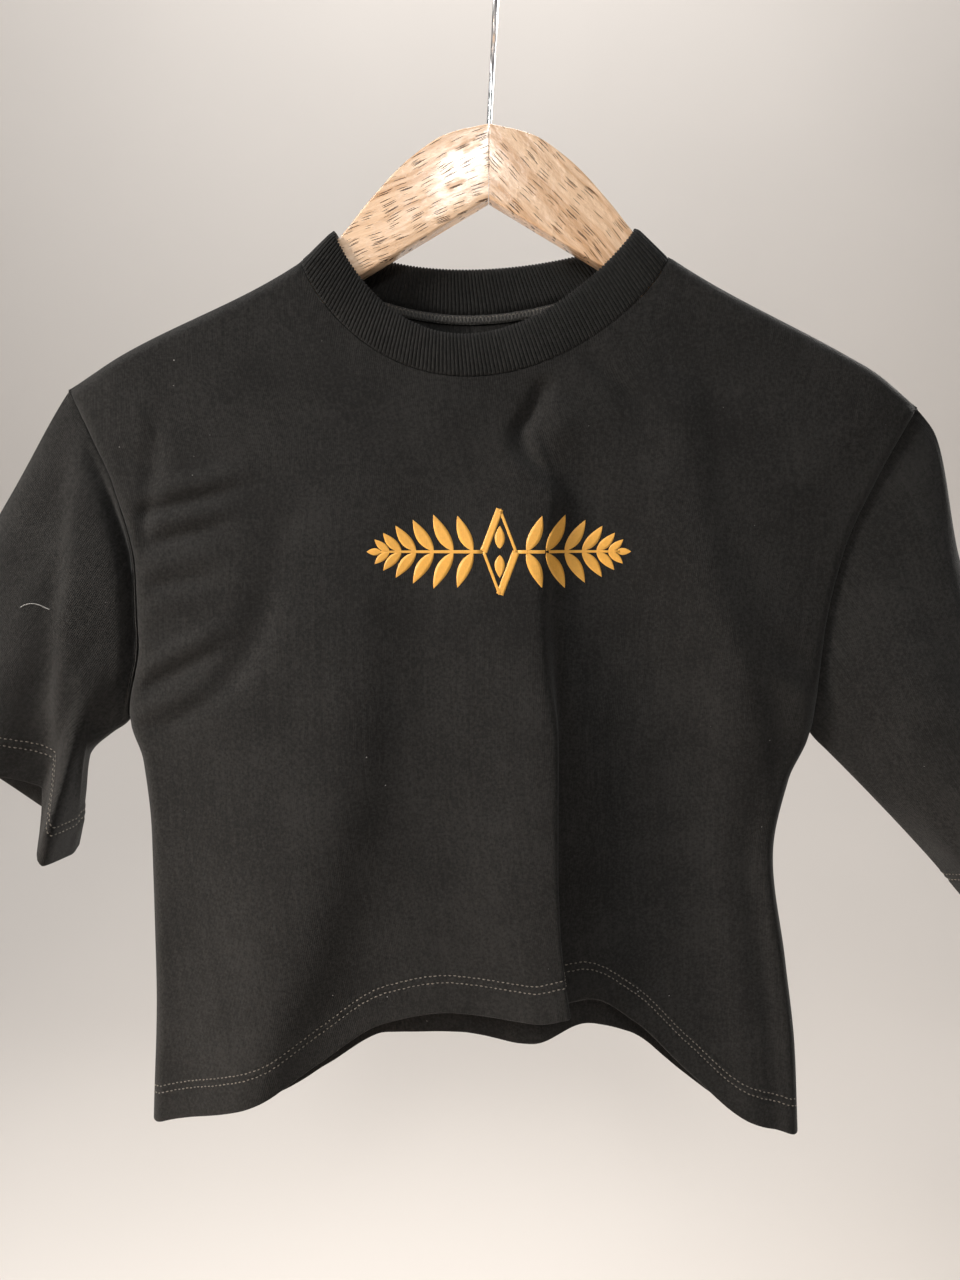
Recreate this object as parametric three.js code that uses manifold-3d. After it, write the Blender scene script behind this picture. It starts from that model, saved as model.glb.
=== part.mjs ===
// A short, boxy knitted top with a ribbed neckband and wide elbow sleeves, hung on a flat wooden hanger.
// Millimetres, +Z up. The front of the top faces -Y, and its wearer's left side is at +X.
// The origin is the inside top of the wire hook, where it bears on a rail.
import * as THREE from "three";
import { mergeVertices } from "three/addons/utils/BufferGeometryUtils.js";
import Module from "manifold-3d";

const wasm = await Module();
wasm.setup();

// ---------------------------------------------------------------- driving sizes
const WALL = 1.2; // one layer of the knit
const HEM_DEPTH = 22; // the turned hems of the body and the sleeves
const HEM_WALL = 2.3; // two layers of the knit, pressed together
const SEAM_GAP = 0.3; // between two pieces where they are sewn
const CURVED_GAP = 0.6; // the same along the neck and the armholes, whose facets need a little more
const HALF_GAP = SEAM_GAP / 2;

const HANGER_THICK = 12;
const HANGER_X = -4.6; // the joint of the two arms, off the hook's top because the wire leans
const ARM_JOINT_GAP = 0.3;
const ARM_CHAMFER = 1.2;

const WIRE_RADIUS = 1.25;
const WIRE_IN_WOOD = 28;
const HOOK_INNER_RADIUS = 20;

const NECK_X = -7; // the middle of the neck opening
const BAND_WALL = 2; // the ribbed band is folded double
const SHOULDER_WRAP = 8; // how far below the shoulder line the cloth has turned down

// The top edge of the wooden arms, measured out from their joint.
const ARM_TOP = [
  { out: 0, z: -77.5 },
  { out: 20, z: -82 },
  { out: 40, z: -94.5 },
  { out: 60, z: -114.5 },
  { out: 74, z: -131 },
  { out: 86, z: -142.5 },
  { out: 98, z: -151.5 },
  { out: 140, z: -173.5 },
  { out: 184, z: -197.5 },
];
const ARM_NOTCH_Z = -113; // the underside of the joint

// The line along the top of both shoulders, over the hanger.
const SHOULDER = [
  { x: -220, z: -206 },
  { x: -190, z: -188 },
  { x: -98, z: -142 },
  { x: -83, z: -128 },
  { x: -45, z: -92 },
  { x: 33, z: -92 },
  { x: 70, z: -126.5 },
  { x: 85, z: -139.5 },
  { x: 176, z: -188 },
  { x: 193, z: -197.5 },
  { x: 216, z: -215 },
];

// The side edges of the body: armhole seams down to the armpits, then the side seams.
const ARMPIT_LEFT = -378;
const ARMPIT_RIGHT = -385;
const LEFT_EDGE = [
  { z: -206, x: -220 },
  { z: -231, x: -208 },
  { z: -255, x: -197.5 },
  { z: -300, x: -187 },
  { z: -335, x: -187 },
  { z: ARMPIT_LEFT, x: -195 },
  { z: -400, x: -189 },
  { z: -440, x: -186 },
  { z: -520, x: -186.5 },
  { z: -602, x: -191 },
];
const RIGHT_EDGE = [
  { z: -215, x: 216 },
  { z: -250, x: 196 },
  { z: -290, x: 178.5 },
  { z: -330, x: 170.5 },
  { z: ARMPIT_RIGHT, x: 166.5 },
  { z: -410, x: 156.5 },
  { z: -450, x: 149.5 },
  { z: -510, x: 158 },
  { z: -560, x: 165 },
  { z: -610, x: 168.5 },
];

// The two hems, across the body.
const HEM = [
  { x: -191, front: -602, back: -602 },
  { x: -160, front: -592, back: -600 },
  { x: -125, front: -579, back: -594 },
  { x: -95, front: -560, back: -578 },
  { x: -60, front: -538, back: -560 },
  { x: -25, front: -531.5, back: -558 },
  { x: 20, front: -533, back: -562 },
  { x: 50, front: -526, back: -553 },
  { x: 75, front: -541, back: -560 },
  { x: 105, front: -572, back: -582 },
  { x: 137, front: -600, back: -602 },
  { x: 168.5, front: -610, back: -610 },
];

// How far each panel stands from the middle plane, down the body.
const DEPTH = [
  { z: -120, front: 9.4, back: 9.4 },
  { z: -180, front: 10.6, back: 9.6 },
  { z: -240, front: 12.5, back: 10 },
  { z: -320, front: 15.5, back: 11 },
  { z: -400, front: 18.5, back: 11 },
  { z: -500, front: 20, back: 11 },
  { z: -610, front: 20, back: 11 },
];
const EDGE_TURN = 8; // how far in from its edges a panel has turned to face forward, at half of its depth
// how far in from its left and its right edge it reaches its full depth
const LEFT_ROUND = [
  { z: -206, far: 30 },
  { z: -240, far: 38 },
  { z: -290, far: 70 },
  { z: -610, far: 70 },
];
const RIGHT_ROUND = [
  { z: -215, far: 30 },
  { z: -245, far: 38 },
  { z: -290, far: 58 },
  { z: -380, far: 52 },
  { z: -430, far: 36 },
  { z: -610, far: 30 },
];
const ARMHOLE_SHARE = 0.62; // the part of that depth that the middle of an armhole has

// The neck seam and the top edge of the band: rings around NECK_X that dip at the front and back.
// A higher power keeps the ring closer to the shoulders before it dips.
const NECK_SEAM = {
  halfWidth: 92,
  top: -141.5,
  frontDrop: 59,
  frontPower: 1.5,
  backDrop: 25.5,
  backPower: 2.2,
  skew: 8,
};
const BAND_TOP = {
  halfWidth: 76.5,
  top: -127.3,
  frontDrop: 53,
  frontPower: 1.75,
  backDrop: 17.5,
  backPower: 1.5,
  skew: 10,
};

// Folds of the front that turn over an edge: at z the edge is at x, its left side stands ahead and its right
// side lies back. turn is how softly it turns, reach how far the left side's bulge goes, deep how far past the
// edge the right side is deepest, and hollow how wide that is.
const MAIN_FOLD = [
  { z: -222, x: 17, ahead: 0, back: 0, turn: 4, reach: 20, deep: 10, hollow: 14 },
  { z: -240, x: 24, ahead: 2, back: 2.2, turn: 4, reach: 22, deep: 11, hollow: 14 },
  { z: -262, x: 31, ahead: 3.2, back: 3.4, turn: 4, reach: 34, deep: 14, hollow: 20 },
  { z: -290, x: 28, ahead: 4.4, back: 4.2, turn: 4, reach: 46, deep: 26, hollow: 32 },
  { z: -320, x: 26, ahead: 6.4, back: 6, turn: 4, reach: 48, deep: 38, hollow: 40 },
  { z: -353, x: 28, ahead: 8.4, back: 8, turn: 3.6, reach: 45, deep: 50, hollow: 46 },
  { z: -384, x: 31, ahead: 9.8, back: 9.8, turn: 3.2, reach: 43, deep: 60, hollow: 50 },
  { z: -417, x: 31, ahead: 11, back: 11.4, turn: 3, reach: 42, deep: 70, hollow: 56 },
  { z: -450, x: 30.5, ahead: 12, back: 12.6, turn: 2.8, reach: 42, deep: 78, hollow: 60 },
  { z: -480, x: 31.5, ahead: 12.6, back: 13.2, turn: 2.8, reach: 42, deep: 82, hollow: 62 },
  { z: -510, x: 34.5, ahead: 13, back: 13.6, turn: 2.8, reach: 42, deep: 84, hollow: 62 },
  { z: -530, x: 39, ahead: 13, back: 13.6, turn: 2.8, reach: 42, deep: 84, hollow: 62 },
];
const LEFT_FOLD = [
  { z: -225, x: -52, ahead: 0, back: 0, turn: 12, reach: 60, deep: 30, hollow: 30 },
  { z: -262, x: -52, ahead: 2, back: 0, turn: 12, reach: 60, deep: 30, hollow: 30 },
  { z: -300, x: -54, ahead: 4.2, back: 0, turn: 12, reach: 60, deep: 30, hollow: 30 },
  { z: -354, x: -59, ahead: 7.8, back: 0, turn: 13, reach: 60, deep: 30, hollow: 30 },
  { z: -385, x: -60, ahead: 9.4, back: 0, turn: 14, reach: 60, deep: 30, hollow: 30 },
  { z: -417, x: -66, ahead: 10.8, back: 0, turn: 16, reach: 60, deep: 30, hollow: 30 },
  { z: -450, x: -74, ahead: 12, back: 0, turn: 17, reach: 58, deep: 30, hollow: 30 },
  { z: -482, x: -83, ahead: 12.5, back: 0, turn: 16, reach: 56, deep: 30, hollow: 30 },
  { z: -516, x: -94, ahead: 12.5, back: 0, turn: 15, reach: 50, deep: 30, hollow: 30 },
  { z: -560, x: -112, ahead: 12, back: 0, turn: 16, reach: 44, deep: 30, hollow: 30 },
  { z: -610, x: -124, ahead: 10, back: 0, turn: 18, reach: 40, deep: 30, hollow: 30 },
];

// Broad folds that run down the front: their height, and how far they reach to the left and to the right.
const RIGHT_RIDGE = [
  { z: -192, x: 85, rise: 0, left: 14, right: 12 },
  { z: -215, x: 91, rise: 3.2, left: 15, right: 12 },
  { z: -262, x: 99, rise: 3.8, left: 17, right: 13 },
  { z: -293, x: 105, rise: 4.4, left: 20, right: 13 },
  { z: -323, x: 114, rise: 5.4, left: 22, right: 13 },
  { z: -354, x: 124, rise: 6.5, left: 24, right: 13 },
  { z: -385, x: 132, rise: 6, left: 24, right: 14 },
  { z: -417, x: 139, rise: 5, left: 24, right: 14 },
  { z: -450, x: 139, rise: 4.5, left: 24, right: 12 },
  { z: -516, x: 148, rise: 4, left: 24, right: 12 },
  { z: -610, x: 157, rise: 3.5, left: 24, right: 12 },
];
const ARMPIT_TROUGH = [
  { z: -258, x: -106, rise: 0, left: 10, right: 10 },
  { z: -285, x: -112, rise: -2, left: 11, right: 10 },
  { z: -323, x: -121, rise: -3.2, left: 11, right: 9 },
  { z: -354, x: -138, rise: -3.4, left: 12, right: 9 },
  { z: -372, x: -160, rise: -2.4, left: 12, right: 8 },
  { z: -384, x: -180, rise: 0, left: 10, right: 8 },
];

// Softer ridges (rise above 0) and troughs, as lines on the panels. wide is the half width.
const FRONT_WAVES = [
  { x0: -172, z0: -214, x1: -178, z1: -262, rise: -2.4, wide: 7 },
  { x0: 165, z0: -384, x1: 112, z1: -300, rise: 2.4, wide: 16 },
];
const BACK_WAVES = [
  { x0: -60, z0: -250, x1: -78, z1: -600, rise: 5, wide: 24 },
  { x0: 8, z0: -300, x1: 22, z1: -600, rise: -5.5, wide: 20 },
  { x0: 70, z0: -230, x1: 92, z1: -600, rise: 5.5, wide: 22 },
  { x0: -185, z0: -372, x1: -110, z1: -280, rise: -2.4, wide: 18 },
  { x0: 160, z0: -380, x1: 110, z1: -290, rise: -2.4, wide: 18 },
  { x0: -135, z0: -430, x1: -140, z1: -605, rise: -3, wide: 20 },
  { x0: 132, z0: -450, x1: 138, z1: -605, rise: -3, wide: 16 },
];

// ---------------------------------------------------------------- small helpers
const clamp = THREE.MathUtils.clamp;
const lerp = THREE.MathUtils.lerp;
const smooth = (t) => THREE.MathUtils.smoothstep(t, 0, 1);

// A quarter circle: 0 at 0, upright there, and level from 1 on.
const quarter = (t) => Math.sqrt(1 - (1 - clamp(t, 0, 1)) ** 2);

// A smooth function through a table's rows, from its column `from` to its column `to`, that never overshoots.
function through(rows, from, to) {
  const table = [...rows].sort((a, b) => a[from] - b[from]);
  const at = table.map((row) => row[from]);
  const value = table.map((row) => row[to]);
  const last = at.length - 1;
  const slope = (i) => (value[i + 1] - value[i]) / (at[i + 1] - at[i]);
  const tangent = at.map((_, i) => {
    if (i === 0) return slope(0);
    if (i === last) return slope(last - 1);
    const before = slope(i - 1);
    const after = slope(i);
    return before * after <= 0 ? 0 : (2 * before * after) / (before + after);
  });
  return (x) => {
    if (x <= at[0]) return value[0];
    if (x >= at[last]) return value[last];
    let i = 0;
    while (x > at[i + 1]) i += 1;
    const span = at[i + 1] - at[i];
    const t = (x - at[i]) / span;
    const rest = 1 - t;
    return (
      value[i] * (1 + 2 * t) * rest * rest +
      tangent[i] * span * t * rest * rest +
      value[i + 1] * t * t * (3 - 2 * t) -
      tangent[i + 1] * span * t * t * rest
    );
  };
}

// A value that goes from 0 to 1 across a fold's turn.
const turned = (distance, width) => 0.5 + 0.5 * Math.tanh(distance / width);

// The height that a list of waves adds at a place on a panel.
function wavesAt(waves, x, z) {
  let height = 0;
  for (const wave of waves) {
    const dx = wave.x1 - wave.x0;
    const dz = wave.z1 - wave.z0;
    const along = ((x - wave.x0) * dx + (z - wave.z0) * dz) / (dx * dx + dz * dz);
    const t = clamp(along, 0, 1);
    const away = Math.hypot(x - wave.x0 - t * dx, z - wave.z0 - t * dz);
    const fade = smooth(0.35 + 2 * t) * smooth(0.35 + 2 * (1 - t));
    height += wave.rise * fade * Math.exp(-((away / wave.wide) ** 2));
  }
  return height;
}

// ---------------------------------------------------------------- the body's form
const shoulderZ = through(SHOULDER, "x", "z");
const leftX = through(LEFT_EDGE, "z", "x");
const rightX = through(RIGHT_EDGE, "z", "x");
const depthOf = { front: through(DEPTH, "z", "front"), back: through(DEPTH, "z", "back") };
const hemOf = { front: through(HEM, "x", "front"), back: through(HEM, "x", "back") };
const leftRound = through(LEFT_ROUND, "z", "far");
const rightRound = through(RIGHT_ROUND, "z", "far");
const readAll = (rows, columns) => columns.map((column) => through(rows, "z", column));
const turnedFolds = [MAIN_FOLD, LEFT_FOLD].map((rows) =>
  readAll(rows, ["x", "ahead", "back", "turn", "reach", "deep", "hollow"]),
);
const broadFolds = [RIGHT_RIDGE, ARMPIT_TROUGH].map((rows) => readAll(rows, ["x", "rise", "left", "right"]));
const foldX = turnedFolds[0][0];

// The height of all folds over the front's plain form.
function foldsAt(x, z) {
  let height = 0;
  for (const fold of turnedFolds) {
    const [edge, ahead, back, turn, reach, deep, hollow] = fold.map((read) => read(z));
    const away = x - edge;
    const side = turned(away, turn);
    height += ahead * Math.exp(-((Math.min(away, 0) / reach) ** 2)) * (1 - side);
    height -= back * Math.exp(-(((away - deep) / hollow) ** 2)) * side;
  }
  for (const fold of broadFolds) {
    const [line, rise, left, right] = fold.map((read) => read(z));
    const away = x - line;
    height += rise * Math.exp(-((away / (away < 0 ? left : right)) ** 2));
  }
  return height;
}

// The part of a panel's depth that its edge has: some along the armhole, none at its ends or the side seam.
function edgeShare(z, top, armpit) {
  const t = (z - top) / (armpit - top);
  return t <= 0 || t >= 1 ? 0 : ARMHOLE_SHARE * Math.sin(Math.PI * t) ** 0.5;
}

// How far a panel's outside stands from the middle plane at a place in it.
function panelDepth(side, x, z) {
  const fromLeft = x - leftX(z);
  const fromRight = rightX(z) - x;
  const nearLeft = fromLeft < fromRight;
  const share = nearLeft
    ? edgeShare(z, LEFT_EDGE[0].z, ARMPIT_LEFT)
    : edgeShare(z, RIGHT_EDGE[0].z, ARMPIT_RIGHT);
  const edge = Math.min(fromLeft, fromRight);
  const inward = Math.min(fromLeft / leftRound(z), fromRight / rightRound(z));
  const sides = share + (1 - share) * (0.5 * quarter(edge / EDGE_TURN) + 0.5 * smooth(inward));
  const below = shoulderZ(x) - z;
  const top = quarter(below / SHOULDER_WRAP);
  const waves = wavesAt(side === "front" ? FRONT_WAVES : BACK_WAVES, x, z) * smooth(edge / 12);
  const folds = side === "front" ? foldsAt(x, z) * smooth(inward * 2) : 0;
  const clear = smooth((below - 2 * SHOULDER_WRAP) / 50);
  return HALF_GAP + (depthOf[side](z) - HALF_GAP) * sides * top + (folds + waves) * clear;
}

// A point of the neck seam or of the band's top edge, in the plane of the body. turn runs from the
// wearer's left shoulder (0) over the back (a quarter) to the right shoulder (a half) and the front.
// grow makes the ring that much larger, for the piece on its outer side.
function neckPoint(ring, turn, grow) {
  const angle = 2 * Math.PI * turn;
  const dip = Math.abs(Math.sin(angle));
  const back = turn < 0.5;
  const drop = back
    ? (ring.backDrop + grow) * dip ** ring.backPower
    : (ring.frontDrop + grow) * dip ** ring.frontPower;
  return {
    side: back ? "back" : "front",
    x: NECK_X + (ring.halfWidth + grow) * Math.cos(angle) - ring.skew * dip ** 2,
    z: ring.top - grow / 2 - drop,
  };
}

// ---------------------------------------------------------------- meshes from grids
// A closed wall between an outer and an inner grid of points. A round grid joins its last column to its first.
function wallBetween(outer, inner, round) {
  const rows = outer.length;
  const columns = outer[0].length;
  const points = [...outer.flat(), ...inner.flat()];
  const innerStart = rows * columns;
  const faces = [];
  const quad = (a, b, c, d) => faces.push(a, b, c, a, c, d);
  const spans = round ? columns : columns - 1;
  for (let r = 0; r < rows - 1; r += 1) {
    for (let c = 0; c < spans; c += 1) {
      const here = r * columns + c;
      const beside = r * columns + ((c + 1) % columns);
      quad(here, beside, beside + columns, here + columns);
      quad(
        innerStart + here + columns,
        innerStart + beside + columns,
        innerStart + beside,
        innerStart + here,
      );
    }
  }
  const rim = (edge) => {
    for (let i = 0; i < edge.length - 1; i += 1) {
      quad(edge[i + 1], edge[i], innerStart + edge[i], innerStart + edge[i + 1]);
    }
  };
  const topEdge = [...Array(spans + 1).keys()].map((c) => c % columns);
  const bottomEdge = topEdge.map((c) => (rows - 1) * columns + c).reverse();
  rim(topEdge);
  rim(bottomEdge);
  if (!round) {
    const sideEdge = [...Array(rows).keys()].map((r) => r * columns);
    rim(sideEdge.map((i) => i).reverse());
    rim(sideEdge.map((i) => i + columns - 1));
  }
  const geometry = new THREE.BufferGeometry();
  geometry.setAttribute("position", new THREE.Float32BufferAttribute(points.flatMap((p) => p.toArray()), 3));
  geometry.setIndex(enclosed(points, faces) < 0 ? faces.reverse() : faces);
  geometry.computeVertexNormals();
  return geometry;
}

// Six times the volume that a list of triangles encloses, negative if they face inwards.
function enclosed(points, faces) {
  let sum = 0;
  for (let i = 0; i < faces.length; i += 3) {
    const [a, b, c] = [points[faces[i]], points[faces[i + 1]], points[faces[i + 2]]];
    sum += a.dot(new THREE.Vector3().crossVectors(b, c));
  }
  return sum;
}

// The unit normals of a grid. They point along (next column) x (next row), or the other way for facing -1.
function gridNormals(grid, round, facing) {
  const rows = grid.length;
  const columns = grid[0].length;
  return grid.map((line, r) =>
    line.map((_, c) => {
      const up = grid[Math.max(r - 1, 0)][c];
      const down = grid[Math.min(r + 1, rows - 1)][c];
      const before = round ? line[(c + columns - 1) % columns] : line[Math.max(c - 1, 0)];
      const after = round ? line[(c + 1) % columns] : line[Math.min(c + 1, columns - 1)];
      const across = new THREE.Vector3().subVectors(after, before);
      const along = new THREE.Vector3().subVectors(down, up);
      return new THREE.Vector3().crossVectors(across, along).normalize().multiplyScalar(facing);
    }),
  );
}

// ---------------------------------------------------------------- front and back
// Columns run down the panel, closer together at its edges, at the neck's corners and at the deep fold.
const NECK_COLUMNS = { from: 0.27, to: 0.73 }; // the columns that start on the neck seam
const FOLD_COLUMN = 0.56;
const FOLD_REACH = 0.13; // how far to either side, in columns, the deep fold bends them
const FOLD_JOIN = 0.15; // how far down they have joined it
const BODY_COLUMNS = [
  0, 0.004, 0.014, 0.035, 0.08, 0.13, 0.18, 0.23, 0.27, 0.277, 0.287, 0.301, 0.325, 0.36, 0.4, 0.44, 0.48, 0.515,
  0.535, 0.549, FOLD_COLUMN, 0.571, 0.585, 0.605, 0.635, 0.67, 0.699, 0.713, 0.723, 0.73, 0.765, 0.81, 0.86, 0.91,
  0.955, 0.985, 0.996, 1,
];
const HEM_ROW = 1 - HEM_DEPTH / 395;
const BODY_ROWS = [
  0, 0.004, 0.011, 0.024, 0.055, 0.1, 0.15, 0.2, 0.255, 0.31, 0.37, 0.43, 0.49, 0.55, 0.61, 0.67, 0.73,
  0.79, 0.85, HEM_ROW - 0.004, HEM_ROW, 1,
];

// The top edge of a panel: one shoulder, the neck seam, the other shoulder.
function panelTop(side, u) {
  const { from, to } = NECK_COLUMNS;
  const leftNeck = neckPoint(NECK_SEAM, 0.5, CURVED_GAP);
  const rightNeck = neckPoint(NECK_SEAM, 0, CURVED_GAP);
  if (u < from) {
    const x = lerp(LEFT_EDGE[0].x, leftNeck.x, u / from);
    return { x, z: shoulderZ(x) };
  }
  if (u > to) {
    const x = lerp(rightNeck.x, RIGHT_EDGE[0].x, (u - to) / (1 - to));
    return { x, z: shoulderZ(x) };
  }
  const part = (u - from) / (to - from);
  return neckPoint(NECK_SEAM, side === "front" ? 0.5 + part / 2 : 0.5 - part / 2, CURVED_GAP);
}

// A place in a panel, from its share of the way across (u) and down (v), blended from its four edges.
function panelPlace(side, u, v) {
  const topLeft = LEFT_EDGE[0];
  const topRight = RIGHT_EDGE[0];
  const lowLeft = { x: HEM[0].x, z: HEM[0][side] };
  const lowRight = { x: HEM[HEM.length - 1].x, z: HEM[HEM.length - 1][side] };
  const follow = side === "front" ? Math.exp(-(((u - FOLD_COLUMN) / FOLD_REACH) ** 2)) : 0;
  const top = panelTop(side, u);
  const foldAtHem = foldX(lowLeft.z) - lerp(lowLeft.x, lowRight.x, FOLD_COLUMN);
  const lowX = lerp(lowLeft.x, lowRight.x, u) + follow * foldAtHem;
  const low = { x: lowX, z: hemOf[side](lowX) };
  const leftZ = lerp(topLeft.z, lowLeft.z, v);
  const rightZ = lerp(topRight.z, lowRight.z, v);
  const left = { x: leftX(leftZ), z: leftZ };
  const right = { x: rightX(rightZ), z: rightZ };
  const blend = (key) =>
    lerp(top[key], low[key], v) +
    lerp(left[key], right[key], u) -
    lerp(lerp(topLeft[key], topRight[key], u), lerp(lowLeft[key], lowRight[key], u), v);
  const place = { x: blend("x"), z: blend("z") };
  // The columns near the deep fold run along it, from just below the neck seam to the hem.
  const straight = lerp(panelTop(side, FOLD_COLUMN).x, foldX(lowLeft.z), v);
  place.x += follow * smooth(v / FOLD_JOIN) * (foldX(place.z) - straight);
  return place;
}

function panelGeometry(side) {
  const sign = side === "front" ? -1 : 1;
  const outer = BODY_ROWS.map((v) =>
    BODY_COLUMNS.map((u) => {
      const { x, z } = panelPlace(side, u, v);
      return new THREE.Vector3(x, sign * panelDepth(side, x, z), z);
    }),
  );
  const normals = gridNormals(outer, false, sign);
  const inner = outer.map((line, r) =>
    line.map((point, c) => {
      const wall = BODY_ROWS[r] >= HEM_ROW ? HEM_WALL : WALL;
      const moved = point.clone().addScaledVector(normals[r][c], -wall);
      moved.y = sign * Math.max(sign * moved.y, HALF_GAP);
      return moved;
    }),
  );
  return wallBetween(outer, inner, false);
}

// ---------------------------------------------------------------- sleeves
// Each sleeve is a tube from the armhole seam to its turned hem. Its edges are the fold along its top
// and the underarm; the two halves between them are the front and the back.
const SLEEVES = {
  left: {
    top: [
      { t: 0, x: -220, z: -206 },
      { t: 0.12, x: -228, z: -218 },
      { t: 0.35, x: -251, z: -256 },
      { t: 0.7, x: -296, z: -325 },
      { t: 1, x: -331, z: -381 },
    ],
    under: [
      { t: 0, x: -195, z: ARMPIT_LEFT },
      { t: 0.35, x: -218, z: -398 },
      { t: 0.7, x: -222, z: -424 },
      { t: 1, x: -229, z: -449 },
    ],
    hemFront: [
      { q: 0, x: -331, z: -381, y: 0 },
      { q: 0.12, x: -316, z: -387, y: -12 },
      { q: 0.4, x: -280, z: -401, y: -15 },
      { q: 0.66, x: -247, z: -413, y: -7 },
      { q: 0.72, x: -241, z: -418, y: -8 },
      { q: 0.84, x: -238.5, z: -446, y: -22 },
      { q: 0.93, x: -233, z: -449, y: -14 },
      { q: 1, x: -229, z: -449, y: 6 },
    ],
    hemBack: [
      { q: 0, x: -331, z: -381, y: 0 },
      { q: 0.15, x: -316, z: -388, y: 12 },
      { q: 0.5, x: -281, z: -412, y: 22 },
      { q: 0.85, x: -246, z: -437, y: 22 },
      { q: 1, x: -229, z: -449, y: 6 },
    ],
    armhole: { edge: leftX, top: -206, armpit: ARMPIT_LEFT, out: -1 },
    pleat: [
      { z: -206, x: -216, step: 0 },
      { z: -240, x: -218, step: 4 },
      { z: -300, x: -222, step: 9 },
      { z: -370, x: -231.5, step: 12 },
      { z: -440, x: -239, step: 12 },
    ],
  },
  right: {
    top: [
      { t: 0, x: 216, z: -215 },
      { t: 0.12, x: 227, z: -230 },
      { t: 0.4, x: 242, z: -291 },
      { t: 0.7, x: 263, z: -348 },
      { t: 1, x: 296, z: -399 },
    ],
    under: [
      { t: 0, x: 166.5, z: ARMPIT_RIGHT },
      { t: 0.35, x: 199, z: -417 },
      { t: 0.7, x: 231, z: -450 },
      { t: 1, x: 257, z: -479 },
    ],
    hemFront: [
      { q: 0, x: 296, z: -399, y: 0 },
      { q: 0.14, x: 296, z: -410, y: -20 },
      { q: 0.5, x: 284, z: -440, y: -36 },
      { q: 0.84, x: 263, z: -471, y: -19 },
      { q: 1, x: 257, z: -479, y: 2 },
    ],
    hemBack: [
      { q: 0, x: 296, z: -399, y: 0 },
      { q: 0.14, x: 292, z: -408, y: 18 },
      { q: 0.5, x: 275, z: -438, y: 32 },
      { q: 0.84, x: 259, z: -470, y: 18 },
      { q: 1, x: 257, z: -479, y: 2 },
    ],
    armhole: { edge: rightX, top: -215, armpit: ARMPIT_RIGHT, out: 1 },
    pleat: null,
  },
};
const SLEEVE_LENGTH = 200; // along the fold of its top
const SLEEVE_HEM_ROW = 1 - HEM_DEPTH / SLEEVE_LENGTH;
const SLEEVE_ROWS = [0, 0.03, 0.14, 0.28, 0.42, 0.56, 0.7, 0.8, SLEEVE_HEM_ROW - 0.01, SLEEVE_HEM_ROW, 1];
const SLEEVE_HALF = [0, 0.02, 0.07, 0.16, 0.28, 0.4, 0.52, 0.62, 0.7, 0.78, 0.86, 0.93, 0.98, 1];
const ARMHOLE_SET_IN = 0.8; // the sleeve's cloth lies this far behind the body's edge
const STEEPEST = 2.4; // how much further apart the faces of a wall may be where the wall is steep

// A smooth function of a table's places, for each of the named columns.
const placesOf = (rows, from, keys) => {
  const parts = keys.map((key) => [key, through(rows, from, key)]);
  return (t) => Object.fromEntries(parts.map(([key, value]) => [key, value(t)]));
};

function sleeveForm(cut) {
  const top = placesOf(cut.top, "t", ["x", "z"]);
  const under = placesOf(cut.under, "t", ["x", "z"]);
  const hems = {
    front: placesOf(cut.hemFront, "q", ["x", "y", "z"]),
    back: placesOf(cut.hemBack, "q", ["x", "y", "z"]),
  };
  const pleatX = cut.pleat && through(cut.pleat, "z", "x");
  const pleatStep = cut.pleat && through(cut.pleat, "z", "step");

  // The armhole seam, a little outside the body's edge and behind its face.
  const armholeAt = (half, q) => {
    const { edge, top: high, armpit, out } = cut.armhole;
    const z = lerp(high, armpit, q);
    const deep = panelDepth(half, edge(z) - out * 0.01, z) - ARMHOLE_SET_IN;
    const sign = half === "front" ? -1 : 1;
    return { x: edge(z) + out * CURVED_GAP, y: sign * Math.max(deep, 0), z };
  };

  // A point of the sleeve's outside, p of the way down it and q of the way from its top to its underarm.
  return (half, p, q) => {
    const seam = armholeAt(half, q);
    const hem = hems[half](q);
    const a = top(p);
    const b = under(p);
    a.x += cut.armhole.out * CURVED_GAP * (1 - p);
    b.x += cut.armhole.out * CURVED_GAP * (1 - p);
    const corners = [armholeAt(half, 0), armholeAt(half, 1), hems[half](0), hems[half](1)];
    const blend = (key) =>
      lerp(seam[key], hem[key], p) +
      lerp(a[key], b[key], q) -
      lerp(lerp(corners[0][key], corners[1][key], q), lerp(corners[2][key], corners[3][key], q), p);
    const place = new THREE.Vector3(blend("x"), lerp(seam.y, hem.y, smooth(p)), blend("z"));
    const belly = Math.sin(Math.PI * p) * quarter(2 * q) * quarter(2 * (1 - q));
    place.y += (half === "front" ? -5 : 5) * belly;
    if (pleatX && half === "front") {
      const beyond = turned(place.x - pleatX(place.z), 3.5);
      place.y -= pleatStep(place.z) * (beyond - 0.4) * quarter(3 * q) * quarter(4 * (1 - q)) * (1 - p ** 6);
    }
    return place;
  };
}

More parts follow.
